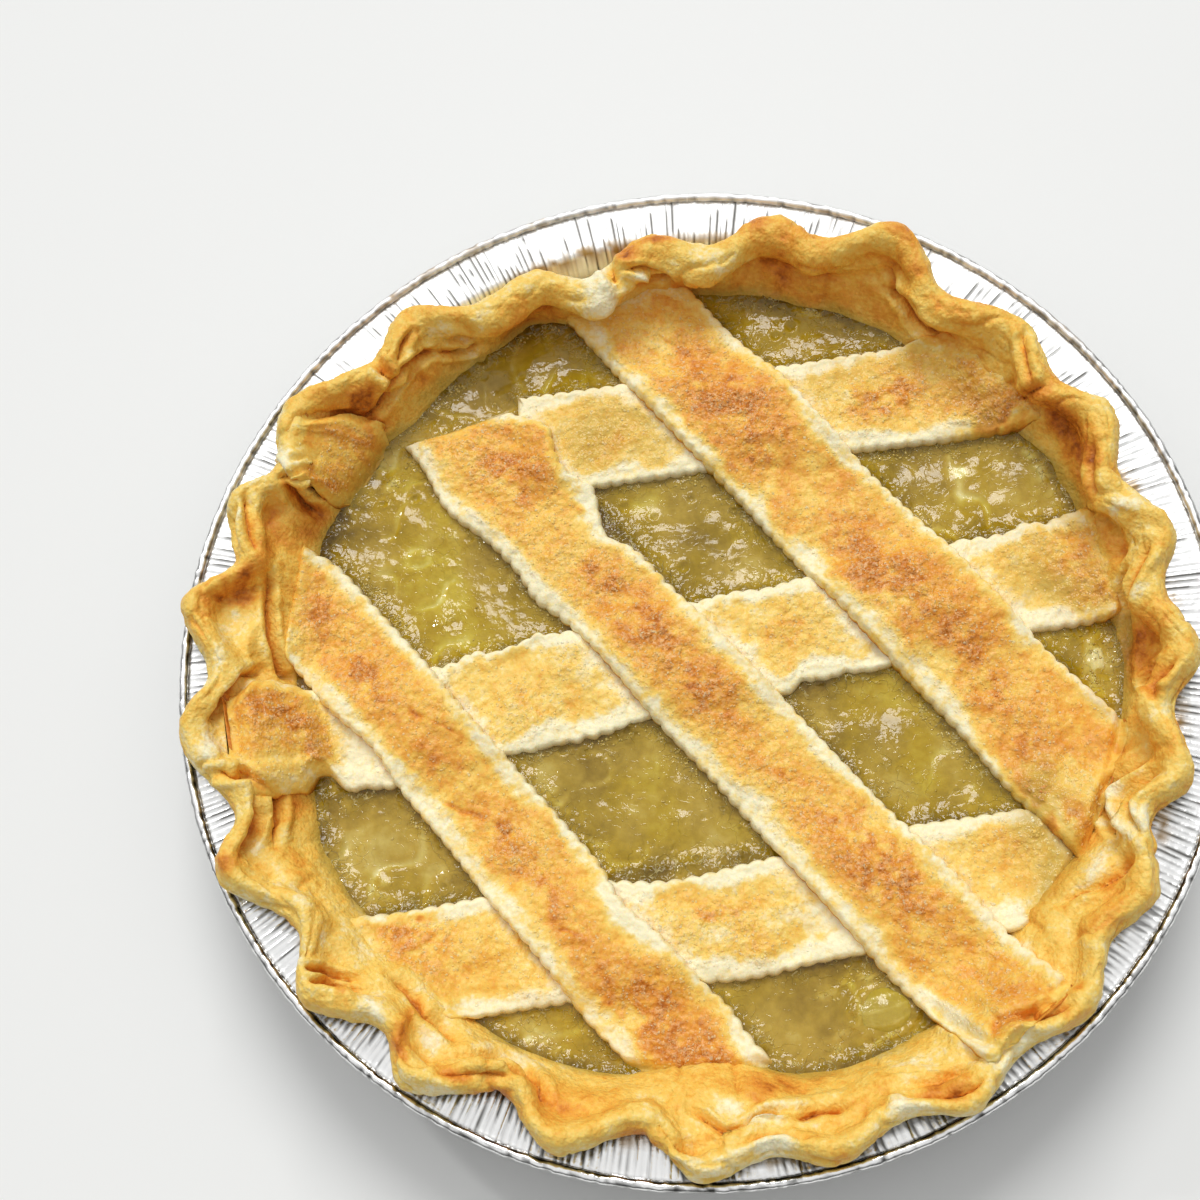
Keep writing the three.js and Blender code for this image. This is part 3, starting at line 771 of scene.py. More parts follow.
def crust_material(name, grain_depth, roughness, sugared=False):
    """Baked pastry: coloured by the stored tone, which holds browning and painted shade, with a crumbly
    grain and a slight sheen.
    """
    material, tree, shader = new_material(name)
    fine = sums(tree, "SUBTRACT", noise(tree, 1.1, 2.0), 0.5)
    broad = sums(tree, "SUBTRACT", noise(tree, 3.5, 3.0), 0.5)
    tone = sums(tree, "ADD", stored(tree, "tone"), sums(tree, "MULTIPLY", fine, 0.45))
    tone = sums(tree, "ADD", tone, sums(tree, "MULTIPLY", broad, 0.28))
    colour = ramp(tree, tone, CRUST_TONES)
    if sugared:
        melted = ramp(tree, noise(tree, 0.9, 2.0), [(0.48, (0, 0, 0, 1)), (0.62, (1, 1, 1, 1))])
        share = sums(tree, "MULTIPLY", sums(tree, "MULTIPLY", stored(tree, "sugar"), melted), 0.55)
        colour = blend_colours(tree, share, colour, MELTED_SUGAR)
    colour = blend_colours(tree, stored(tree, "soaked"), colour, SOAKED_COLOUR)
    tree.links.new(colour, shader.inputs["Base Color"])
    wet = sums(tree, "ADD", stored(tree, "soaked"), stored(tree, "sugar"))
    tree.links.new(sums(tree, "MULTIPLY_ADD", wet, -0.25, roughness), shader.inputs["Roughness"])
    set_sockets(shader, Specular_IOR_Level=0.22, Subsurface_Weight=0.12)
    set_sockets(shader, Subsurface_Radius=(1.0, 0.55, 0.2), Subsurface_Scale=2.5 * MM)
    relief = sums(tree, "ADD", noise(tree, 0.8, 1.0), sums(tree, "MULTIPLY", noise(tree, 1.8, 1.0), 1.5))
    if sugared:
        pebbled = sums(tree, "MULTIPLY_ADD", stored(tree, "sugar"), 0.65, 0.35)
        relief = sums(tree, "MULTIPLY", relief, pebbled)
    bumps(tree, shader, relief, grain_depth)
    return material


def pastry_case():
    bearings = np.arange(CASE_TURNS) * 360 / CASE_TURNS
    rings = smooth_rings(rim_section(bearings), PROFILE_STEPS)
    plan = on_plan(bearings[:, None], rings[:, :, 0])
    points = np.dstack([plan, rings[:, :, 1]])
    faces = band_faces(*points.shape[:2])
    swept = plain_mesh("case_swept", points.reshape(-1, 3), faces)
    mesh = one_skin(swept, CASE_GRAIN, smoothing=2)

    points, normals = points_of(mesh), normals_of(mesh)
    facing = ease(((EYE - points) * normals).sum(axis=1) / np.linalg.norm(EYE - points, axis=1), 0, 0.3)
    sight = sighted(points)
    folds = facing * path_relief(sight, CREASES, fold_profile)
    wrinkles = wrinkled(points)
    relief = unevenness(points, (0.5, 7, 41), (0.36, 3.4, 42), (0.24, 1.7, 43))
    relief += facing * path_relief(sight, RIDGES, round_profile) - 1.9 * folds - 0.75 * wrinkles
    bare = ease(points[:, 2], 24.5, 27)
    move_points(mesh, points + normals * (relief * bare)[:, None])
    points, normals = points_of(mesh), normals_of(mesh)
    # Creases and wrinkles are darkened: painted shade in their grooves.
    tone = crust_tone(points, normals, sight) + 0.12 * np.clip(folds, -0.6, 1.2) + 0.12 * wrinkles
    tone += 0.28 * ease(folds, 0.6, 1.3)
    set_values(mesh, "tone", np.clip(tone, 0, 0.9))
    set_values(mesh, "soaked", soaked_by_filling(points, sight))
    return thinned(mesh, CASE_KEPT)


def wrinkled(points):
    """Fine wrinkles running along the rim, 1 in the middle of a wrinkle and 0 between them."""
    bearings = bearing_of(points)
    across = radius_of(points) - round_rim(bearings, 1) + 3.6
    turned = np.arctan2(across, points[:, 2] - BEAD_LEVEL - 0.4 * round_rim(bearings, 2))
    angle = np.radians(bearings)
    place = np.stack([46 * np.sin(angle), 46 * np.cos(angle), 5.5 * turned], axis=1)
    lines = np.exp(-((lumps(place, 4.2, 44) / 0.1) ** 2)) * ease(lumps(points, 9, 45), -0.25, 0.35)
    return lines + 0.7 * np.exp(-((lumps(place, 2.6, 46) / 0.1) ** 2)) * ease(lumps(points, 7, 47), 0, 0.5)


def soaked_by_filling(points, sight):
    """Pastry close to the filling's level, or flooded with juice, is stained and shiny."""
    level = points[:, 2] + 1.2 * lumps(points, 6, 35)
    soaked = 0.85 * (1 - ease(level, FILL_LEVEL + 0.3, FILL_LEVEL + 3.2))
    flooded = spots(sight, FLOODED)
    return np.clip(soaked + flooded * (1 + 0.6 * lumps(points, 3.5, 36)), 0, 0.8)


case_mesh = pastry_case()
case_skin = BVHTree.FromPolygons(
    [vertex.co / MM for vertex in case_mesh.vertices],
    [tuple(polygon.vertices) for polygon in case_mesh.polygons],
)
crust = crust_material("baked_crust", 0.32, 0.45)
case = new_piece("pastry_case_crimped", case_mesh, crust)
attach(case, "root")
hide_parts("pastry_case")


# ---- The lattice strips ------------------------------------------------------------------
# Rolled pastry cut into strips with a fluted wheel and sugared. Three lie on the filling and
# three lie over them. Each is draped over what is under it and puffed up a little by baking.

STRIP_THICK = 3.4
TOOTH_PITCH = 3.7
TOOTH_DEPTH = 0.75
ROW_STEP = 0.46
RIM_TUCK = 1.6
COLUMNS = 62
STRIP_BITE = 0.2
EDGE_REACH = 6
CASE_REACH = 86

# heading: degrees from +X towards +Y. side: offset of its middle line to the left of the
# centre. reach: where it starts and ends. ends: the radius that each end is pressed out to
# on the case, or 0 for a cut end. climb: how far above the filling each end can rise on the
# case. slant: how far a cut end runs off square. thins: how many millimetres of each end
# thin out. swell: how much thicker the start has risen, and over what length. torn: how
# ragged its outline is. outline: where an edge bulges or draws in, as the place along the
# strip, the side, the spread and how far out.
# browned and soaked: along, across, two spreads and strength of each patch.
# cracks: along, across, degrees off the strip, half length, half width and depth.
# shape: shares of its width at the start, the middle and the end. lean: how far its start is
# shifted to the left. cream: how much paler its edges are.
UNDER_STRIPS = {
    "under_strip_upper": dict(
        heading=7, side=56.9, width=27, reach=(-35, 92), ends=(0, 103), climb=(0, 5), thins=(0, 4), bake=0.4,
        browned=[
            (54, -1, 9, 6, 0.40), (64, 2, 8, 6, 0.18), (-8, -2, 10, 6, 0.12), (80, -3, 8, 10, 0.25),
            (84, -12, 9, 6, 0.45), (70, 12, 6, 3, 0.2),
        ],
        soaked=[(-12, 0, 24, 10, 0.4), (43, 5, 8, 8, 0.35), (66, 8, 14, 6, 0.3), (76, -9, 8, 8, 0.4)],
    ),
    "under_strip_middle": dict(
        heading=13.5, side=-4, width=26.5, reach=(-116, 102), ends=(109, 102), climb=(14, 2.5),
        thins=(7, 4), bake=0.38, swell=(2.6, 20), torn=0.7,
        outline=[(-91, -1, 3.6, -5), (-99, -1, 6, -2.5), (-99, 1, 9, 3)],
        browned=[
            (24, -1, 9, 5, 0.14), (-38, -1, 9, 5, 0.14), (-96, 6, 6, 6, 0.4), (-102, 12, 5, 5, 0.3),
            (-90.5, 0, 2.5, 6, 0.35), (-101, -5, 5, 4, -0.12), (-80, -6, 5, 7, -0.3), (86, 4, 6, 8, 0.16),
            (94, 0, 6, 14, 0.2), (93, -10, 5, 5, 0.3),
        ],
        soaked=[(84, 2, 8, 8, 0.4), (-84, 4, 4, 9, 0.3), (91, -9, 6, 8, 0.6)],
    ),
    "under_strip_lower": dict(
        heading=9.5, side=-64.9, width=26, reach=(-84, 80), ends=(104, 99.5), climb=(3, 0.8),
        thins=(4, 4), bake=0.42, outline=[(-6, 1, 22, -3), (0, -1, 12, 1.4)],
        browned=[
            (-4, -1, 12, 5, 0.2), (-73, 5, 8, 7, 0.42), (60, 3, 8, 6, 0.12), (-48, 0, 8, 6, 0.12),
            (24, -9, 5, 5, -0.35),
        ],
        soaked=[(76, 0, 8, 14, 0.45)],
    ),
}
OVER_STRIPS = {
    "over_strip_left": dict(
        heading=-48, side=-62.7, width=24, reach=(-86, 86), ends=(98.5, 98), climb=(3, 0.6),
        thins=(4, 4), bake=0.47,
        outline=[
            (36, 1, 8, -2.5), (68, 1, 5, 1), (-30, -1, 10, -2), (50, -1, 9, 1.3), (-82, 1, 6, -3),
        ],
        browned=[
            (-43, -1, 9, 5, 0.36), (-18, 0, 7, 5, 0.2), (9, 0, 10, 4.5, 0.48), (27, -1, 8, 4, 0.24),
            (58, -1, 11, 6, 0.44), (50, -2, 8, 5, 0.2), (-62, 1, 7, 6, 0.26), (70, 0, 5, 9, 0.46),
            (40, 7, 9, 4, -0.25), (75, 11, 4, 4, -0.4), (75, -1, 3, 8, 0.4),
        ],
        cracks=[
            (-29, 2.6, 25, 2, 0.6, 0.7), (-22, 5.4, 20, 4, 0.4, 0.5),
            (-4.5, -4.2, 30, 5, 0.6, 0.8), (33.3, -3.4, 36, 2.4, 0.5, 0.7),
        ],
    ),
    "over_strip_middle": dict(
        heading=-48.5, side=-6.4, width=25.5, reach=(-83.5, 112), ends=(0, 0), climb=(0, 18),
        thins=(3, 3), bake=0.43, slant=(0.42, 0),
        outline=[
            (-66, 1, 6, 4), (-46, 1, 4, 2.4), (-34, 1, 5, -3), (-66, -1, 10, 3), (-33, -1, 6, 1.8),
        ],
        browned=[
            (-44, 11, 7, 5, -0.4), (-36, 8, 5, 3, -0.3), (-34, -13, 7, 3, -0.3),
            (-64, 2, 11, 8, 0.38), (-27, 1, 8, 6, 0.3), (-8, 0, 10, 6, 0.44), (12, 0, 9, 5.5, 0.42),
            (37, -1, 8, 4, 0.18), (54, 0, 9, 6, 0.3), (70, 2, 9, 8, 0.45), (101, 5, 7, 5, 0.24),
            (85, 0, 8, 8, 0.16),
        ],
    ),
    "over_strip_right": dict(
        heading=-50, side=46.7, width=30, reach=(-88, 92), ends=(98, 100), climb=(0.6, 3),
        thins=(3, 4), bake=0.48,
        browned=[
            (-41, 0, 11, 8, 0.52), (-26, -2, 8, 7, 0.3), (8, -2, 9, 6, 0.4), (19, -2, 9, 7, 0.42),
            (38, 1, 9, 6, 0.4), (52, -2, 8, 6, 0.22), (68, -4, 9, 5, 0.32), (-58, 1, 8, 8, 0.22),
            (88, -11, 8, 5, 0.25), (79, -14, 11, 4, 0.3),
        ],
        soaked=[(84, -7, 9, 9, 0.35)],
    ),
}


def strip_place(strip, plan):
    """Plan points as distances along a strip and to the left of its middle line."""
    angle = np.radians(strip["heading"])
    way = np.array([np.cos(angle), np.sin(angle)])
    left = np.array([-way[1], way[0]])
    return plan @ way, plan @ left - strip["side"]


def end_lines(strip, off):
    """Where the strip starts and ends at each offset from the centre."""
    slants = strip.get("slant", (0, 0))
    lines = [end + slant * (off - strip["side"]) for end, slant in zip(strip["reach"], slants)]
    for index, radius in enumerate(strip["ends"]):
        if radius:
            lines[index] = np.sign(index - 0.5) * np.sqrt(radius**2 - off**2)
    return lines


def half_width(strip, along, gaps, side):
    """Half the strip's width on one side, with the teeth that the fluted wheel cut."""
    line = at(along, 9 * side)
    seed = 51 + int(strip["width"])
    turned = along + 0.7 * lumps(line, 9, seed + 2)
    tooth = np.abs(np.sin(np.pi * turned / TOOTH_PITCH)) ** 0.7 - 0.65
    worn = 0.78 + 0.12 * side + 0.5 * lumps(line, 8, seed + 1)
    for gap, thins in zip(gaps, strip["thins"]):
        if thins:
            worn = worn * ease(gap, 0, thins + 4)
    half = strip["width"] / 2 + TOOTH_DEPTH * worn * tooth + 0.7 * lumps(line, 19, seed)
    for place, edge, long, out in strip.get("outline", ()):
        if edge == side:
            half = half + out * np.exp(-(((along - place) / long) ** 2))
    return half


def patches(marks, sheet):
    """Soft-edged patches over a strip, summed at each of its points."""
    total = np.zeros(sheet.along.shape)
    for place, gap, long, wide, strength in marks:
        far = ((sheet.along - place) / long) ** 2 + ((sheet.left - gap) / wide) ** 2
        total += strength * np.exp(-far)
    return total


def blurred(grid, reach):
    """The grid averaged over `reach` cells each way, twice."""
    for axis in (0, 1, 0, 1):
        padded = np.pad(grid, [(reach, reach) if a == axis else (0, 0) for a in (0, 1)], mode="edge")
        total = np.cumsum(padded, axis=axis)
        total = np.insert(total, 0, 0, axis=axis)
        size = 2 * reach + 1
        upper = np.take(total, np.arange(size, total.shape[axis]), axis=axis)
        lower = np.take(total, np.arange(total.shape[axis] - size), axis=axis)
        grid = (upper - lower) / size
    return grid


def case_level(plan, fallback):
    """Height of the case's skin under each plan point, or the fallback where there is none."""
    found = fallback.copy()
    down = Vector((0, 0, -1))
    for index, (x, y) in enumerate(plan):
        hit = case_skin.ray_cast(Vector((x, y, 60)), down)[0]
        if hit is not None:
            found[index] = max(found[index], hit.z)
    return found


def tucked_in(plan):
    """Plan points, drawn in where they would overhang the rim."""
    radius = radius_of(plan)
    past = np.maximum(radius - round_rim(bearing_of(plan), 1) + RIM_TUCK, 0)
    return plan * (1 - 0.85 * past / radius)[..., None]


UNDERSIDE = list(range(COLUMNS - 1, 0, -2)) + [0]
# The underside is painted dark brown, so the strips' sides darken towards it: a painted contact shadow along
# their lower edges.
UNDERSIDE_SHADE_TONE = 0.8


def all_round(values, below=None):
    """A strip's values for its top, then for its underside: the same ones unless given."""
    under = values[:, UNDERSIDE] if below is None else np.full((len(values), len(UNDERSIDE)), below)
    return np.concatenate([values, under], axis=1).ravel()


def strip_sheet(name, strip):
    """The strip laid out flat: grids of the places along it, across it and on the plan."""
    rows = int(np.subtract(*strip["reach"][::-1]) / ROW_STEP)
    across = np.linspace(-1, 1, COLUMNS)
    torn = strip.get("torn", 0)
    ragged = (1.3 + torn) * lumps(at(across * 12), 2.6, len(name))
    start, end = end_lines(strip, strip["side"] + across * strip["width"] / 2)
    share = np.linspace(0, 1, rows)[:, None]
    along = mix(start + ragged, end + ragged[::-1], share)
    gaps = along - start, end - along
    halves = [half_width(strip, along, gaps, side) for side in (-1, 1)]
    half = np.where(across < 0, *halves) * np.interp(share, (0, 0.5, 1), strip.get("shape", (1, 1, 1)))
    half += torn * unevenness(at(along, 40 * np.sign(across)), (1.6, 5, 91), (1, 2, 92))
    left = across * half
    angle = np.radians(strip["heading"])
    off = strip["side"] + left + strip.get("lean", 0) * (1 - share)
    x = along * np.cos(angle) - off * np.sin(angle)
    y = along * np.sin(angle) + off * np.cos(angle)
    plan = tucked_in(np.stack([x, y], axis=-1))
    sides = np.minimum(half - np.abs(left), EDGE_REACH)
    return SimpleNamespace(
        across=across, share=share, along=along, left=left, gaps=gaps, sides=sides, plan=plan,
        rim=np.minimum(sides, np.minimum(*gaps) + 1), radius=radius_of(plan), seed=int(abs(strip["side"])),
    )


def over_sheet(sheet, *layers):
    """Unevenness over a strip, where each layer's seed is counted from the strip's own."""
    layers = [(strength, size, sheet.seed + seed) for strength, size, seed in layers]
    return unevenness(at(sheet.plan[..., 0], sheet.plan[..., 1]), *layers)


def bake_sheet(strip, sheet):
    """Adds to a strip where it puffs up, swells, browns and holds sugar."""
    sheet.puff = over_sheet(sheet, (0.8, 12, 0), (0.45, 5.5, 1))
    sheet.wavering = over_sheet(sheet, (2.4, 9, 8), (0.8, 2.5, 9))
    sheet.marks = patches(strip["browned"], sheet)
    sheet.marks *= 0.7 + over_sheet(sheet, (0.6, 3.4, 4), (0.45, 1.6, 7))
    sheet.sugar = np.clip(0.3 + 1.6 * sheet.marks + 0.3 * sheet.puff, 0, 1)
    sheet.sugar *= ease(sheet.rim + 0.4 * sheet.wavering, 1.8, 3.4)
    sheet.risen, length = strip.get("swell", (0, 0))
    sheet.lobe = 1 - ease(sheet.gaps[0] + 0.5 * sheet.wavering, length - 3, length + 2.5)


def strip_bed(strip, sheet, sink, lower):
    """The levels of what is under a strip, of the case's skin, and of the strip's drape."""
    base = FILL_LEVEL - sink
    floor = np.full(sheet.along.shape, base)
    for under in lower:
        place, gap = strip_place(under, sheet.plan)
        inside = np.minimum(under["width"] / 2 - np.abs(gap), place - under["reach"][0])
        inside = np.minimum(inside, under["reach"][1] - place)
        floor = np.maximum(floor, base + (STRIP_THICK - STRIP_BITE) * ease(inside, -0.6, 1.2))
    case_top = floor.copy()
    close = sheet.radius > CASE_REACH
    case_top[close] = case_level(sheet.plan[close], floor[close])
    climb = FILL_LEVEL + np.where(sheet.share < 0.5, *strip["climb"])
    floor = np.maximum(floor, np.minimum(case_top, climb))
    draped = blurred(np.maximum(blurred(floor, 9), floor - 1), 3)
    return floor, case_top, mix(blurred(floor, 1), draped, ease(np.minimum(*sheet.gaps), 0, 5))


def strip_thickness(strip, sheet):
    """Puffed by baking, pebbled where it's sugared, and thin at the edges and ends."""
    body = np.sqrt(np.clip(1 - (1 - np.clip(sheet.rim / 1.3, 0, 1)) ** 2, 0, 1))
    pebbles = np.abs(over_sheet(sheet, (1, 1.6, 10))) + 0.7 * np.abs(over_sheet(sheet, (1, 1.05, 11)))
    grain = over_sheet(sheet, (0.36, 2.7, 2), (0.26, 1.3, 3)) + 0.75 * sheet.sugar * (pebbles - 0.35)
    thick = STRIP_THICK * (0.48 + 0.52 * body) + (sheet.puff + grain) * ease(sheet.rim, 0.2, 3.2)
    thick += sheet.risen * ease(sheet.rim, 0, 3.5) * sheet.lobe
    for gap, thins in zip(sheet.gaps, strip["thins"]):
        if thins:
            thick *= 0.1 + 0.9 * ease(gap, 0, thins)
    return thick


def crack_depth(strip, sheet):
    """How deep the cracks are that baking has torn along a strip."""
    total = np.zeros(sheet.along.shape)
    for place, gap, turn, long, wide, depth in strip.get("cracks", ()):
        cos, sin = np.cos(np.radians(turn)), np.sin(np.radians(turn))
        ahead, aside = sheet.along - place, sheet.left - gap
        beyond = ahead * cos + aside * sin
        beside = aside * cos - ahead * sin + 0.5 * sheet.wavering
        total += depth * np.exp(-((beyond / long) ** 4) - (beside / wide) ** 2)
    return total


def closed_strip(name, top, bottom):
    """A strip's mesh from the grids of its top and its underside, with flat cut ends."""
    rings = np.concatenate([top, bottom[:, UNDERSIDE]], axis=1)
    cells = np.arange(rings[..., 0].size).reshape(rings.shape[:2])
    beside = np.roll(cells, -1, axis=1)
    faces = np.stack([cells[:-1], cells[1:], beside[1:], beside[:-1]], -1).reshape(-1, 4).tolist()
    faces += [cells[0].tolist(), cells[-1][::-1].tolist()]
    mesh = plain_mesh(name, rings.reshape(-1, 3), faces)
    for end_face in mesh.polygons[-2:]:
        end_face.use_smooth = False
    return mesh


def strip_tone(strip, sheet, draped):
    """How brown a strip is where it lies clear of the case: cream at its edges."""
    bulge = draped + sheet.puff
    swollen = ease(blurred(bulge, 2) - blurred(bulge, 18), 0.1, 1.3)
    sides = sheet.sides
    for gap, thins in zip(sheet.gaps, strip["thins"]):
        if not thins:
            sides = np.minimum(sides, gap + 1)
    edge = 1 - ease(sides + sheet.wavering - 0.8 * (sheet.across < 0), 1.4, 5.3)
    edge *= (1 - ease(sheet.marks, 0.15, 0.4)) * (1 - 0.85 * sheet.lobe * (sheet.risen > 0))
    tone = strip["bake"] + sheet.marks + 0.12 * swollen - strip.get("cream", 0.4) * edge
    tone += over_sheet(sheet, (0.1, 7, 5))
    return tone + (0.1 + 0.14 * ease(sheet.marks, 0.05, 0.3)) * over_sheet(sheet, (1, 2.2, 6))


def strip_mesh(name, strip, sink, lower=(), shading=()):
    """A draped strip, with the colour and painted shade, sugar and juice of each point stored on it.

    sink is how far it has sunk into the jelly, lower the strips under it, and shading the
    strips over it.
    """
    sheet = strip_sheet(name, strip)
    bake_sheet(strip, sheet)
    floor, case_top, draped = strip_bed(strip, sheet, sink, lower)
    top = np.dstack([sheet.plan, draped + strip_thickness(strip, sheet)])
    sight = sighted(top)
    pressed = sheet.radius > CASE_REACH + 2
    folds, raised = np.zeros(pressed.shape), np.zeros(pressed.shape)
    folds[pressed] = path_relief(sight[pressed], CREASES, fold_profile)
    raised[pressed] = path_relief(sight[pressed], RIDGES, round_profile)
    cracks = crack_depth(strip, sheet)
    top[..., 2] += raised - 0.8 * folds - cracks
    mesh = closed_strip(name, top, np.dstack([sheet.plan, floor - 0.2]))

    tone = strip_tone(strip, sheet, draped)
    on_case = ease(case_top - top[..., 2], -3, -0.5) * ease(sheet.radius, 88, 94)
    tone = mix(tone, uneven_bake(top) + sheet.marks, on_case)
    # Creases and cracks are darkened: painted shade in their grooves.
    tone += 0.12 * np.clip(folds, -0.3, 1.2) + 0.4 * cracks
    for over in shading:
        gap = np.abs(strip_place(over, sheet.plan)[1]) - over["width"] / 2
        tone -= 0.32 * np.exp(-np.clip(gap, 0, 60) / 5) * ease(sheet.marks, 0.2, 0.05)
    low = 1 - ease(top[..., 2] - FILL_LEVEL, 0.3, 1.9)
    flooded = spots(sight, FLOODED) + patches(strip.get("soaked", ()), sheet)
    soaked = 0.6 * low + flooded * (1 + sheet.wavering / 3)
    set_values(mesh, "tone", np.clip(all_round(tone, UNDERSIDE_SHADE_TONE), 0, 0.8))
    set_values(mesh, "sugar", np.clip(all_round(sheet.sugar, 0), 0, 1))
    set_values(mesh, "soaked", np.clip(all_round(soaked), 0, 0.7))
    return mesh


strip_crust = crust_material("baked_strips", 0.46, 0.42, sugared=True)
strips = {}
for name, strip in UNDER_STRIPS.items():
    mesh = strip_mesh(name + "_baked", strip, sink=1.0, shading=OVER_STRIPS.values())
    strips[name] = new_piece(name + "_baked", mesh, strip_crust)
for name, strip in OVER_STRIPS.items():
    mesh = strip_mesh(name + "_baked", strip, sink=0.7, lower=UNDER_STRIPS.values())
    strips[name] = new_piece(name + "_baked", mesh, strip_crust)
for name, piece in strips.items():
    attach(piece, "root")
    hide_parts(name)


# ---- The folded flap ---------------------------------------------------------------------
# A torn end of dough folded in over the rim between two crimps, with sugar on it.

FLAP = dict(
    heading=-28.5, side=2, width=24, reach=(-111, -93), ends=(0, 0), climb=(18, 18), thins=(8, 1.5),
    bake=0.44, torn=1.0, shape=(0.35, 0.95, 1.0), lean=-7, cream=0.12,
    browned=[
        (-98, 6, 5, 6, 0.3), (-97.5, -7, 3.5, 4.5, 0.4), (-104, -7, 5, 6, -0.3), (-93, 0, 3, 12, 0.15),
    ],
)
flap = new_piece("folded_flap", strip_mesh("folded_flap", FLAP, sink=0.5), strip_crust)
strips["folded_flap"] = flap
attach(flap, "root")


# ---- The filling -------------------------------------------------------------------------
# Gooseberries cooked down to a set, glossy jelly with skins, pulp and bubbles in it. The
# surface rises where it clings to the crust and the strips, and round a half-sunk berry.

FILL_CELLS = 300
FILL_TUCK = 1.6
FILL_FLOOR = 20.0
PITS = 150
PIT_REACH = 98
PIT_SIZES = (0.5, 1.1)
GREEN_TONES = [
    (0.0, (0.12, 0.07, 0.004, 1)), (0.3, (0.275, 0.175, 0.008, 1)), (0.55, (0.445, 0.292, 0.014, 1)),
    (0.8, (0.60, 0.46, 0.05, 1)), (1.0, (0.78, 0.70, 0.24, 1)),
]
GREY_TONES = [
    (0.0, (0.14, 0.08, 0.008, 1)), (0.3, (0.30, 0.19, 0.018, 1)), (0.55, (0.475, 0.322, 0.045, 1)),
    (0.8, (0.62, 0.49, 0.13, 1)), (1.0, (0.80, 0.72, 0.34, 1)),
]
CURL_COLOUR = (0.80, 0.70, 0.36, 1)
BERRY_PLACE = (41.4, -84.6, FILL_LEVEL - 2.8)
BERRY_HALVES = (8.6, 6.4, 4.5)
BERRY_TURN = 16
# Set foam: bearing and radius sighted from above, two spreads and strength. A negative strength paints shade
# instead: the dark jelly in the shadow beside the flap and under the rim.
FOAM_AND_SHADE = [
    (64, 90, 6, 1.3, 1.0), (21, 86.5, 6, 1.2, 0.9), (84, 86, 5, 1.6, 0.9), (99, 91, 6, 2.4, 0.9),
    (236, 96, 5, 1.0, 0.6), (199, 98.4, 3, 1.2, 1.0), (246, 88, 4, 1.6, 1.0), (282, 86.4, 3, 1.3, 0.9),
    (161, 98.4, 3, 1.0, 0.8), (156, 87.5, 4, 1.6, 0.7), (228, 91, 2, 1.4, 0.8), (305, 79, 5, 1.6, 0.6),
    (129, 92.5, 6, 1.8, 1.0), (156.5, 99.6, 4, 0.7, 1.0), (94, 91.5, 2.6, 1.8, 0.9),
    (104, 89.5, 3, 1.3, 0.7), (161, 86.6, 4, 1.2, 1.0), (161.5, 95.6, 1.6, 1.2, 0.7),
    (228, 90.5, 2, 2.5, 0.6), (297.5, 80.7, 2.4, 1.5, 0.9), (283, 84.5, 2, 1.3, 0.7),
    (214, 50.6, 7, 2, 0.5), (114.5, 64, 2.4, 6, 0.5), (293, 86.5, 10, 5, -0.5),
    (245, 91.5, 5, 3, -0.4), (97, 86, 9, 6, -0.2),
]
# Where the jelly is paler or darker: plan position, two spreads and strength. The first two are a painted
# highlight with a milky streak below it, and the two darker marks on the far side, along the crust wall, are
# painted shadow of the wall.
JELLY_LIGHT_AND_TONE_MARKS = [
    (65.8, 43.5, 1.5, 1.3, 0.9), (65.4, 39, 1.0, 3.4, 0.35), (70, -12, 6, 5, 0.16), (-2, -56, 4, 2.5, 0.22),
    (55, -33, 6, 3, 0.12), (22, 13, 5, 3, 0.2), (-58, 14, 5, 9, 0.12), (-75, 30, 8, 4, -0.1),
    (-40, -88, 9, 3, 0.14), (20, -90, 8, 3, 0.14), (-75, -52, 7, 7, 0.1), (96, -8, 4, 6, 0.12),
    (28, 92, 16, 4, -0.3), (-44, 84, 12, 4, -0.22), (88, 24, 5, 8, -0.16), (-92, 30, 5, 8, -0.24),
]


def out_of_strips(plan):
    """How far each plan point is outside the nearest strip or the case."""
    gap = pool_radius(bearing_of(plan)) - radius_of(plan)
    for strip in [*UNDER_STRIPS.values(), *OVER_STRIPS.values()]:
        along, off = strip_place(strip, plan)
        start, end = end_lines(strip, np.clip(off + strip["side"], -90, 90))
        beyond = np.maximum(start + strip["thins"][0] - along, along - end + strip["thins"][1])
        gap = np.minimum(gap, np.maximum(np.abs(off) - strip["width"] / 2, beyond))
    return np.clip(gap, 0, 60)


def out_of_berry(plan):
    """How far each plan point is outside the half-sunk berry where it meets the jelly."""
    angle = np.radians(BERRY_TURN)
    way = np.array([np.cos(angle), np.sin(angle)])
    gap = plan - BERRY_PLACE[:2]
    cut = np.sqrt(1 - ((FILL_LEVEL - BERRY_PLACE[2]) / BERRY_HALVES[2]) ** 2)
    turned = np.hypot(gap @ way / BERRY_HALVES[0], gap @ (-way[1], way[0]) / BERRY_HALVES[1]) / cut
    return np.clip(turned - 1, 0, 20) * BERRY_HALVES[1] * cut


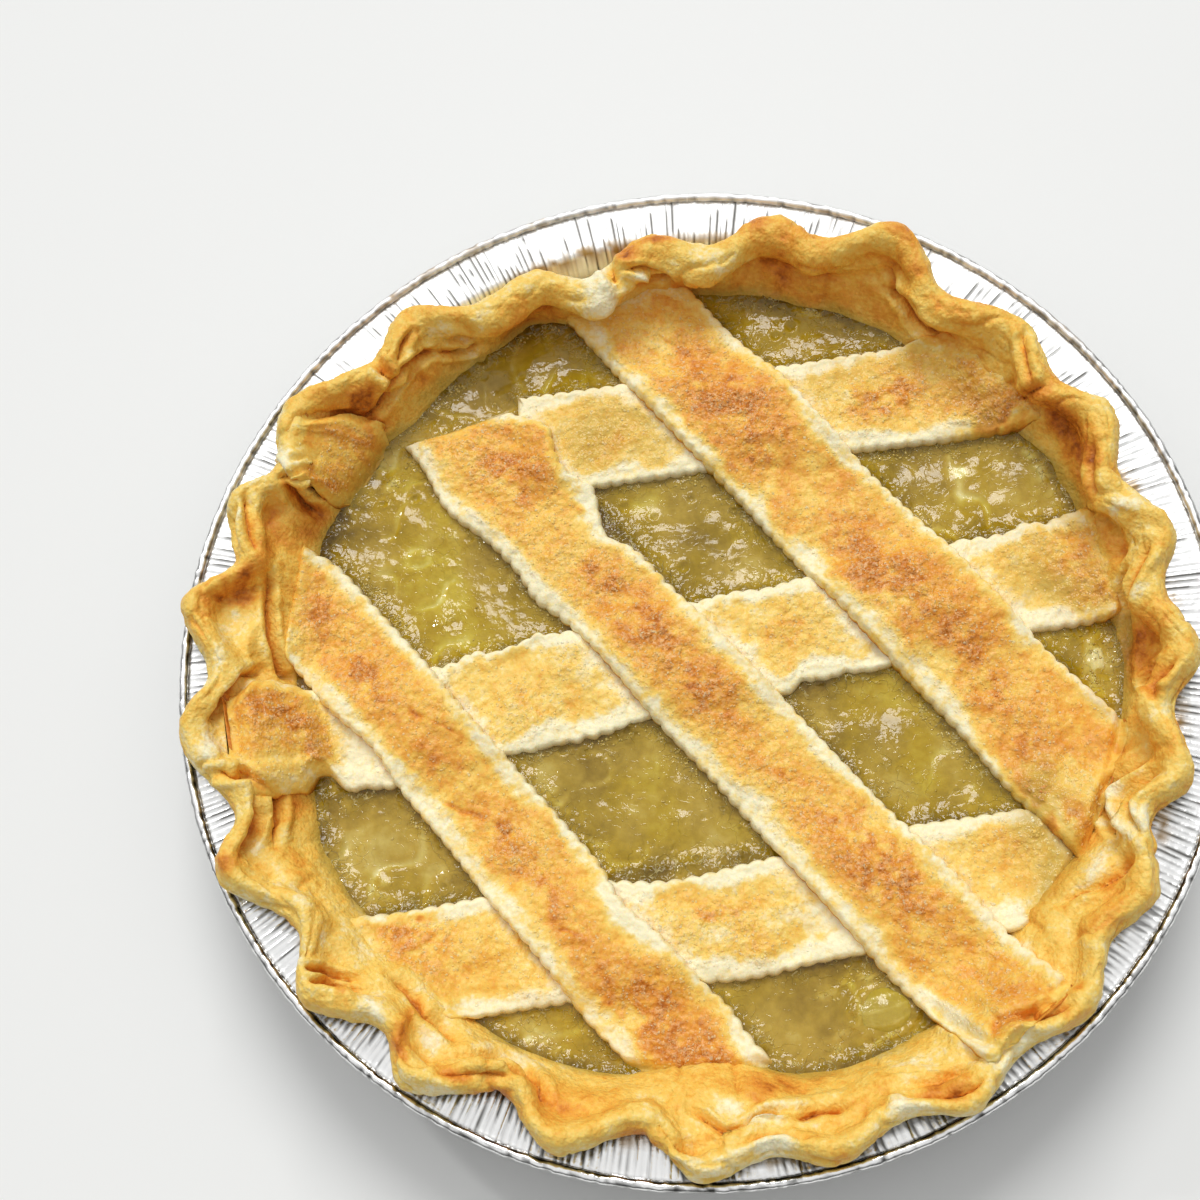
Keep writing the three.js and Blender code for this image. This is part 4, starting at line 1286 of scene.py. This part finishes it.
def filling_level(plan):
    """Height of the jelly at each plan point, with its pits, skins and pulp."""
    flat = at(*plan.T)
    gap = out_of_strips(plan)
    level = FILL_LEVEL + unevenness(flat, (0.5, 15, 61), (0.4, 7, 62))
    pulp = ease(lumps(flat, 10, 65), -0.4, 0.5)
    rough = mix(0.35, 1.0, np.maximum(pulp, np.exp(-((gap / 5) ** 2))))
    level += rough * unevenness(flat, (0.3, 3.6, 63), (0.12, 1.9, 64))
    level -= 0.35 * np.exp(-((lumps(flat, 9, 66) / 0.06) ** 2)) * pulp
    rng = np.random.default_rng(5)
    places = rng.uniform(-PIT_REACH, PIT_REACH, (PITS, 2))
    for x, y, size in np.column_stack([places, rng.uniform(*PIT_SIZES, PITS)]):
        close = np.flatnonzero((np.abs(plan[:, 0] - x) < 5) & (np.abs(plan[:, 1] - y) < 5))
        far = np.hypot(*(plan[close] - (x, y)).T) / size
        level[close] += 0.35 * np.exp(-((far - 1.6) ** 2) * 4) - 0.6 * np.exp(-(far**2))
    berry_gap = out_of_berry(plan)
    level += (0.5 * np.exp(-berry_gap / 0.7) + 0.25 * np.sin(3 * berry_gap)) * np.exp(-berry_gap / 4)
    return level + 0.45 * np.exp(-gap / 0.8)


def filling_material():
    material, tree, shader = new_material("gooseberry_jelly")
    broad = sums(tree, "SUBTRACT", noise(tree, 7, 3.0), 0.5)
    fine = sums(tree, "SUBTRACT", noise(tree, 1.8, 4.0), 0.5)
    tone = sums(tree, "ADD", stored(tree, "tone"), sums(tree, "MULTIPLY", broad, 0.5))
    tone = sums(tree, "ADD", tone, sums(tree, "MULTIPLY", fine, 0.34))
    hue = ramp(tree, noise(tree, 16, 2.0), [(0.42, (0, 0, 0, 1)), (0.6, (1, 1, 1, 1))])
    colour = blend_colours(tree, hue, ramp(tree, tone, GREEN_TONES), ramp(tree, tone, GREY_TONES))
    wound = sums(tree, "ABSOLUTE", sums(tree, "SUBTRACT", noise(tree, 3.4, 2.0), 0.5), 0.0)
    curl = ramp(tree, wound, [(0.0, (1, 1, 1, 1)), (0.022, (0, 0, 0, 1))])
    frothy = sums(tree, "POWER", stored(tree, "ripple"), 2.0)
    pale = sums(tree, "MULTIPLY", sums(tree, "MULTIPLY", curl, frothy), 0.7)
    tree.links.new(blend_colours(tree, pale, colour, CURL_COLOUR), shader.inputs["Base Color"])
    set_sockets(shader, Roughness=0.1, Specular_IOR_Level=0.4, Subsurface_Weight=0.25)
    set_sockets(shader, Subsurface_Radius=(1.0, 0.8, 0.25), Subsurface_Scale=2 * MM)
    height = sums(tree, "ADD", noise(tree, 2.1, 1.6), sums(tree, "MULTIPLY", curl, 0.22))
    bumps(tree, shader, sums(tree, "MULTIPLY", height, stored(tree, "ripple")), 1.1)
    return material


def closed_jelly():
    """The points of the jelly's top, laid over a disc, and of its sides; and the faces."""
    side = np.linspace(-1, 1, FILL_CELLS + 1)
    u, v = np.meshgrid(side, side, indexing="ij")
    x = u * np.sqrt(1 - v * v / 2)
    y = v * np.sqrt(1 - u * u / 2)
    disc = np.column_stack([x.ravel(), y.ravel()])
    plan = disc * (pool_radius(bearing_of(disc)) + FILL_TUCK)[:, None]
    points = np.column_stack([plan, filling_level(plan)])
    cells = np.arange(len(points)).reshape(u.shape)
    faces = np.stack([cells[:-1, :-1], cells[1:, :-1], cells[1:, 1:], cells[:-1, 1:]], -1)
    faces = faces.reshape(-1, 4).tolist()
    loop = np.concatenate([cells[:-1, 0], cells[-1, :-1], cells[:0:-1, -1], cells[0, :0:-1]])
    low = len(points) + np.arange(len(loop))
    bottom = np.column_stack([plan[loop] * 0.99, np.full(len(loop), FILL_FLOOR)])
    after = np.roll(np.arange(len(loop)), -1)
    faces += np.stack([loop, low, low[after], loop[after]], -1).tolist()
    faces += [low[::-1].tolist()]
    return np.vstack([points, bottom]), faces


def filling():
    points, faces = closed_jelly()
    mesh = plain_mesh("filling_jelly", points, faces)
    plan = points[:, :2]
    gap = out_of_strips(plan)
    flat = at(*plan.T)
    skins = np.exp(-((lumps(flat, 9, 66) / 0.08) ** 2)) * ease(lumps(flat, 10, 65), -0.4, 0.5)
    foam = spots(sighted(points), FOAM_AND_SHADE) * ease(lumps(flat, 1.8, 70), -0.4, 0.5)
    # Darker close to the strips and the crust: partly darker jelly, partly a painted contact shadow.
    tone = 0.5 + 0.2 * lumps(points, 13, 67) - 0.3 * np.exp(-gap / 1.6) + 0.24 * skins + 0.5 * foam
    for px, py, wide, deep, strength in JELLY_LIGHT_AND_TONE_MARKS:
        tone += strength * np.exp(-(((plan[:, 0] - px) / wide) ** 2) - (((plan[:, 1] - py) / deep) ** 2))
    frothy = ease(lumps(points, 7, 68), 0.05, 0.5) * np.exp(-(((gap - 1.4) / 1.6) ** 2))
    choppy = np.maximum(np.exp(-((gap / 3) ** 2)), 0.4 * ease(lumps(points, 8, 69), 0.1, 0.6))
    set_values(mesh, "tone", tone)
    set_values(mesh, "ripple", 0.1 + 0.9 * np.maximum(choppy, np.clip(foam, 0, 1)))
    set_values(mesh, "froth", np.where(gap > 0.5, frothy + 0.5 * foam + 0.004, 0))
    return mesh


jelly = new_piece("filling_jelly", filling(), filling_material())
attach(jelly, "root")
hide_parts("filling")


# ---- The coarse sugar --------------------------------------------------------------------
# Sugar crystals sprinkled on the strips before baking, some melted and some still sharp.
# They are scattered over each strip by the amount of sugar stored on its points.

SUGAR_SIZE = 0.72
SUGAR_PER_MM2 = 1.05


def scatter_tree(name, material, amount_name, smallest, largest):
    """Scatters small bodies over a mesh by a stored amount and gives back those alone."""
    tree = bpy.data.node_groups.new(name, "GeometryNodeTree")
    inputs = {"Geometry": "Geometry", "Grain Size": "Float", "Density": "Float", "Seed": "Int"}
    for label, kind in inputs.items():
        tree.interface.new_socket(label, in_out="INPUT", socket_type="NodeSocket" + kind)
    tree.interface.new_socket("Geometry", in_out="OUTPUT", socket_type="NodeSocketGeometry")
    given = node(tree, "NodeGroupInput")
    result = node(tree, "NodeGroupOutput")
    amount = node(tree, "GeometryNodeInputNamedAttribute", data_type="FLOAT")
    amount.inputs["Name"].default_value = amount_name
    density = node(tree, "ShaderNodeMath", operation="MULTIPLY")
    scatter = node(tree, "GeometryNodeDistributePointsOnFaces")
    crystal = node(tree, "GeometryNodeMeshIcoSphere", Subdivisions=1)
    size = node(tree, "FunctionNodeRandomValue", data_type="FLOAT_VECTOR")
    size.inputs["Min"].default_value = smallest
    size.inputs["Max"].default_value = largest
    place = node(tree, "GeometryNodeInstanceOnPoints")
    real = node(tree, "GeometryNodeRealizeInstances")
    coat = node(tree, "GeometryNodeSetMaterial")
    coat.inputs["Material"].default_value = material
    join = tree.links.new
    join(given.outputs["Geometry"], scatter.inputs["Mesh"])
    join(given.outputs["Density"], density.inputs[0])
    join(amount.outputs["Attribute"], density.inputs[1])
    join(density.outputs[0], scatter.inputs["Density"])
    join(given.outputs["Seed"], scatter.inputs["Seed"])
    join(given.outputs["Grain Size"], crystal.inputs["Radius"])
    join(given.outputs["Seed"], size.inputs["Seed"])
    join(scatter.outputs["Points"], place.inputs["Points"])
    join(crystal.outputs["Mesh"], place.inputs["Instance"])
    join(scatter.outputs["Rotation"], place.inputs["Rotation"])
    join(size.outputs["Value"], place.inputs["Scale"])
    join(place.outputs["Instances"], real.inputs["Geometry"])
    join(real.outputs["Geometry"], coat.inputs["Geometry"])
    join(coat.outputs["Geometry"], result.inputs["Geometry"])
    return tree


def sugar_material():
    material, tree, shader = new_material("sugar_crystals")
    under = ramp(tree, stored(tree, "tone"), CRUST_TONES)
    clear = ramp(tree, noise(tree, 1.2, 2.0), [(0.45, (0.1, 0.1, 0.1, 1)), (0.68, (0.6, 0.6, 0.6, 1))])
    tree.links.new(blend_colours(tree, clear, under, SUGAR_COLOUR), shader.inputs["Base Color"])
    set_sockets(shader, Roughness=0.4, Specular_IOR_Level=0.15, Subsurface_Weight=0.3)
    set_sockets(shader, Subsurface_Radius=(1.0, 0.7, 0.4), Subsurface_Scale=1 * MM)
    return material


def scattered(mesh, tree, size, per_mm2, seed):
    """A plain mesh of what a scatter tree puts over a mesh."""
    carrier = carrier_of(mesh.copy())
    spread = carrier.modifiers.new("scatter", "NODES")
    spread.node_group = tree
    sockets = {item.name: item.identifier for item in tree.interface.items_tree if item.in_out == "INPUT"}
    spread[sockets["Grain Size"]] = size * MM / 2
    spread[sockets["Density"]] = per_mm2 / MM**2
    spread[sockets["Seed"]] = seed
    return finished_mesh(carrier)


def joined(meshes, kept):
    """One mesh of several meshes of triangles, with one number that their points store."""
    points, faces, values = [], [], []
    for mesh in meshes:
        corners = np.zeros(len(mesh.loops), dtype=np.int64)
        mesh.loops.foreach_get("vertex_index", corners)
        faces.append(corners.reshape(-1, 3) + sum(map(len, points)))
        value = np.zeros(len(mesh.vertices), dtype=np.float32)
        mesh.attributes[kept].data.foreach_get("value", value)
        values.append(value)
        points.append(points_of(mesh))
    whole = plain_mesh("joined", np.concatenate(points), np.concatenate(faces))
    whole.shade_flat()
    set_values(whole, kept, np.concatenate(values))
    return whole


sugar = sugar_material()
sugar_nodes = scatter_tree("scattered_sugar", sugar, "sugar", (0.45, 0.45, 0.25), (1.4, 1.25, 0.6))
grains = [
    scattered(piece.data, sugar_nodes, SUGAR_SIZE, SUGAR_PER_MM2, number + 1)
    for number, piece in enumerate(strips.values())
]
crystals = new_piece("coarse_sugar", joined(grains, "tone"), sugar)
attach(crystals, "root")


# ---- The half-sunk gooseberry and the bubbles --------------------------------------------
# One whole berry lies half out of the jelly near the near edge, its veins showing through
# its skin. Froth of small bubbles has set round the edges of the jelly.

VEINS = 13
BERRY_CELLS = (96, 48)
BUBBLE_SIZE = 1.0
BUBBLES_PER_MM2 = 1.6


def gooseberry_material():
    material, tree, shader = new_material("gooseberry_skin")
    tones = [(0.0, (0.35, 0.245, 0.02, 1)), (0.6, (0.48, 0.36, 0.045, 1)), (1.0, (0.64, 0.52, 0.13, 1))]
    mottled = sums(tree, "MULTIPLY", sums(tree, "SUBTRACT", noise(tree, 2.5, 3.0), 0.5), 0.7)
    tone = sums(tree, "ADD", stored(tree, "tone"), mottled)
    tree.links.new(ramp(tree, tone, tones), shader.inputs["Base Color"])
    set_sockets(shader, Roughness=0.12, Subsurface_Weight=0.4)
    set_sockets(shader, Subsurface_Radius=(1.0, 0.9, 0.3), Subsurface_Scale=2 * MM)
    bumps(tree, shader, noise(tree, 1.8, 3.0), 0.3)
    return material


def gooseberry():
    turns, steps = BERRY_CELLS
    around = (np.arange(turns) * 2 * np.pi / turns)[:, None]
    down = np.linspace(0.02, np.pi - 0.02, steps)[None]
    vein = np.abs(np.cos(around * VEINS / 2 + 0.5 * np.sin(3 * down))) ** 14 * np.sin(down) ** 0.5
    swell = 1 + 0.012 * vein
    ball = np.dstack([
        np.cos(down) * swell, np.cos(around) * np.sin(down) * swell, np.sin(around) * np.sin(down) * swell,
    ]).reshape(-1, 3)
    ball *= BERRY_HALVES
    ball *= (1 + 0.05 * lumps(ball, 4, 71))[:, None]
    angle = np.radians(BERRY_TURN)
    x = ball[:, 0] * np.cos(angle) - ball[:, 1] * np.sin(angle)
    y = ball[:, 0] * np.sin(angle) + ball[:, 1] * np.cos(angle)
    points = np.column_stack([x, y, ball[:, 2]]) + BERRY_PLACE
    cells = np.arange(turns * steps).reshape(turns, steps)
    faces = band_faces(turns, steps, joined=False).tolist()
    faces += [cells[:, 0].tolist(), cells[::-1, -1].tolist()]
    mesh = plain_mesh("gooseberry", points, faces)
    # Its top is painted lighter and its underside darker: painted light from above, over the paler veins.
    set_values(mesh, "tone", (0.35 + 0.25 * vein + 0.2 * np.sin(around) + 0 * down).ravel())
    return mesh


berry = new_piece("gooseberry_half_sunk", gooseberry(), gooseberry_material())
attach(berry, "root")


def froth_material():
    material, tree, shader = new_material("set_froth")
    tones = [(0.3, (0.42, 0.28, 0.03, 1)), (0.7, (0.66, 0.52, 0.17, 1))]
    tree.links.new(ramp(tree, noise(tree, 3, 2.0), tones), shader.inputs["Base Color"])
    set_sockets(shader, Roughness=0.06, Specular_IOR_Level=0.7)
    return material


froth = froth_material()
froth_nodes = scatter_tree("scattered_froth", froth, "froth", (0.2, 0.2, 0.15), (1.0, 1.0, 0.8))
round_froth = scattered(jelly.data, froth_nodes, BUBBLE_SIZE, BUBBLES_PER_MM2, seed=9)
round_froth.shade_smooth()
bubbles = new_piece("jelly_bubbles", round_froth, froth)
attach(bubbles, "root")


# ---- The table, the light and the camera -------------------------------------------------
# A plain pale table, a large soft window beyond the far side, a small lamp to its left and a
# pale room above. The camera stands on the near side and looks steeply down.

def table_material():
    material, _, shader = new_material("pale_table")
    set_sockets(shader, Base_Color=(0.86, 0.865, 0.85, 1), Roughness=0.6)
    return material


TABLE_HALF = 2000
TABLE_LEVEL = -0.1
corners = [(x * TABLE_HALF, y * TABLE_HALF, TABLE_LEVEL) for x, y in ((-1, -1), (1, -1), (1, 1), (-1, 1))]
table = new_piece("table", plain_mesh("table", corners, [(0, 1, 2, 3)]), table_material())

world = bpy.data.worlds.new("pale_room")
bpy.context.scene.world = world
world.use_nodes = True
sky = world.node_tree
sky.nodes.clear()
direction = node(sky, "ShaderNodeTexCoord").outputs["Generated"]
height = node(sky, "ShaderNodeSeparateXYZ")
sky.links.new(direction, height.inputs[0])
sky_tones = [
    (0.0, (0.07, 0.07, 0.07, 1)), (0.3, (0.12, 0.12, 0.12, 1)), (0.55, (0.55, 0.55, 0.55, 1)),
    (0.8, (1.1, 1.1, 1.1, 1)), (1.0, (1.3, 1.3, 1.3, 1)),
]
background = node(sky, "ShaderNodeBackground", Strength=0.66)
sky.links.new(ramp(sky, height.outputs["Z"], sky_tones), background.inputs["Color"])
sky_out = node(sky, "ShaderNodeOutputWorld")
sky.links.new(background.outputs[0], sky_out.inputs["Surface"])


def far_light(name, direction, spread, strength):
    """A light so far off that it is the same everywhere, coming from a direction."""
    lamp = bpy.data.lights.new(name, "SUN")
    lamp.angle = np.radians(spread)
    lamp.energy = strength
    light = bpy.data.objects.new(name, lamp)
    light.rotation_euler = (-Vector(direction)).to_track_quat("-Z", "Y").to_euler()
    bpy.context.scene.collection.objects.link(light)


far_light("window", (0.0, 0.95, 1.15), 26, 1.5)
far_light("lamp", (-0.75, 0.7, 0.9), 4, 0.4)

camera_data = bpy.data.cameras.new("camera")
camera_data.lens = 45
camera_data.sensor_width = 36
camera = bpy.data.objects.new("camera", camera_data)
turn = Matrix((
    (0.9962, 0.0125, 0.0863),
    (0.0187, 0.9359, -0.3518),
    (-0.0852, 0.3521, 0.9321),
))
camera.matrix_world = Matrix.Translation(Vector(EYE) * MM) @ turn.to_4x4()
bpy.context.scene.collection.objects.link(camera)
bpy.context.scene.camera = camera
bpy.context.scene.view_settings.view_transform = "Standard"
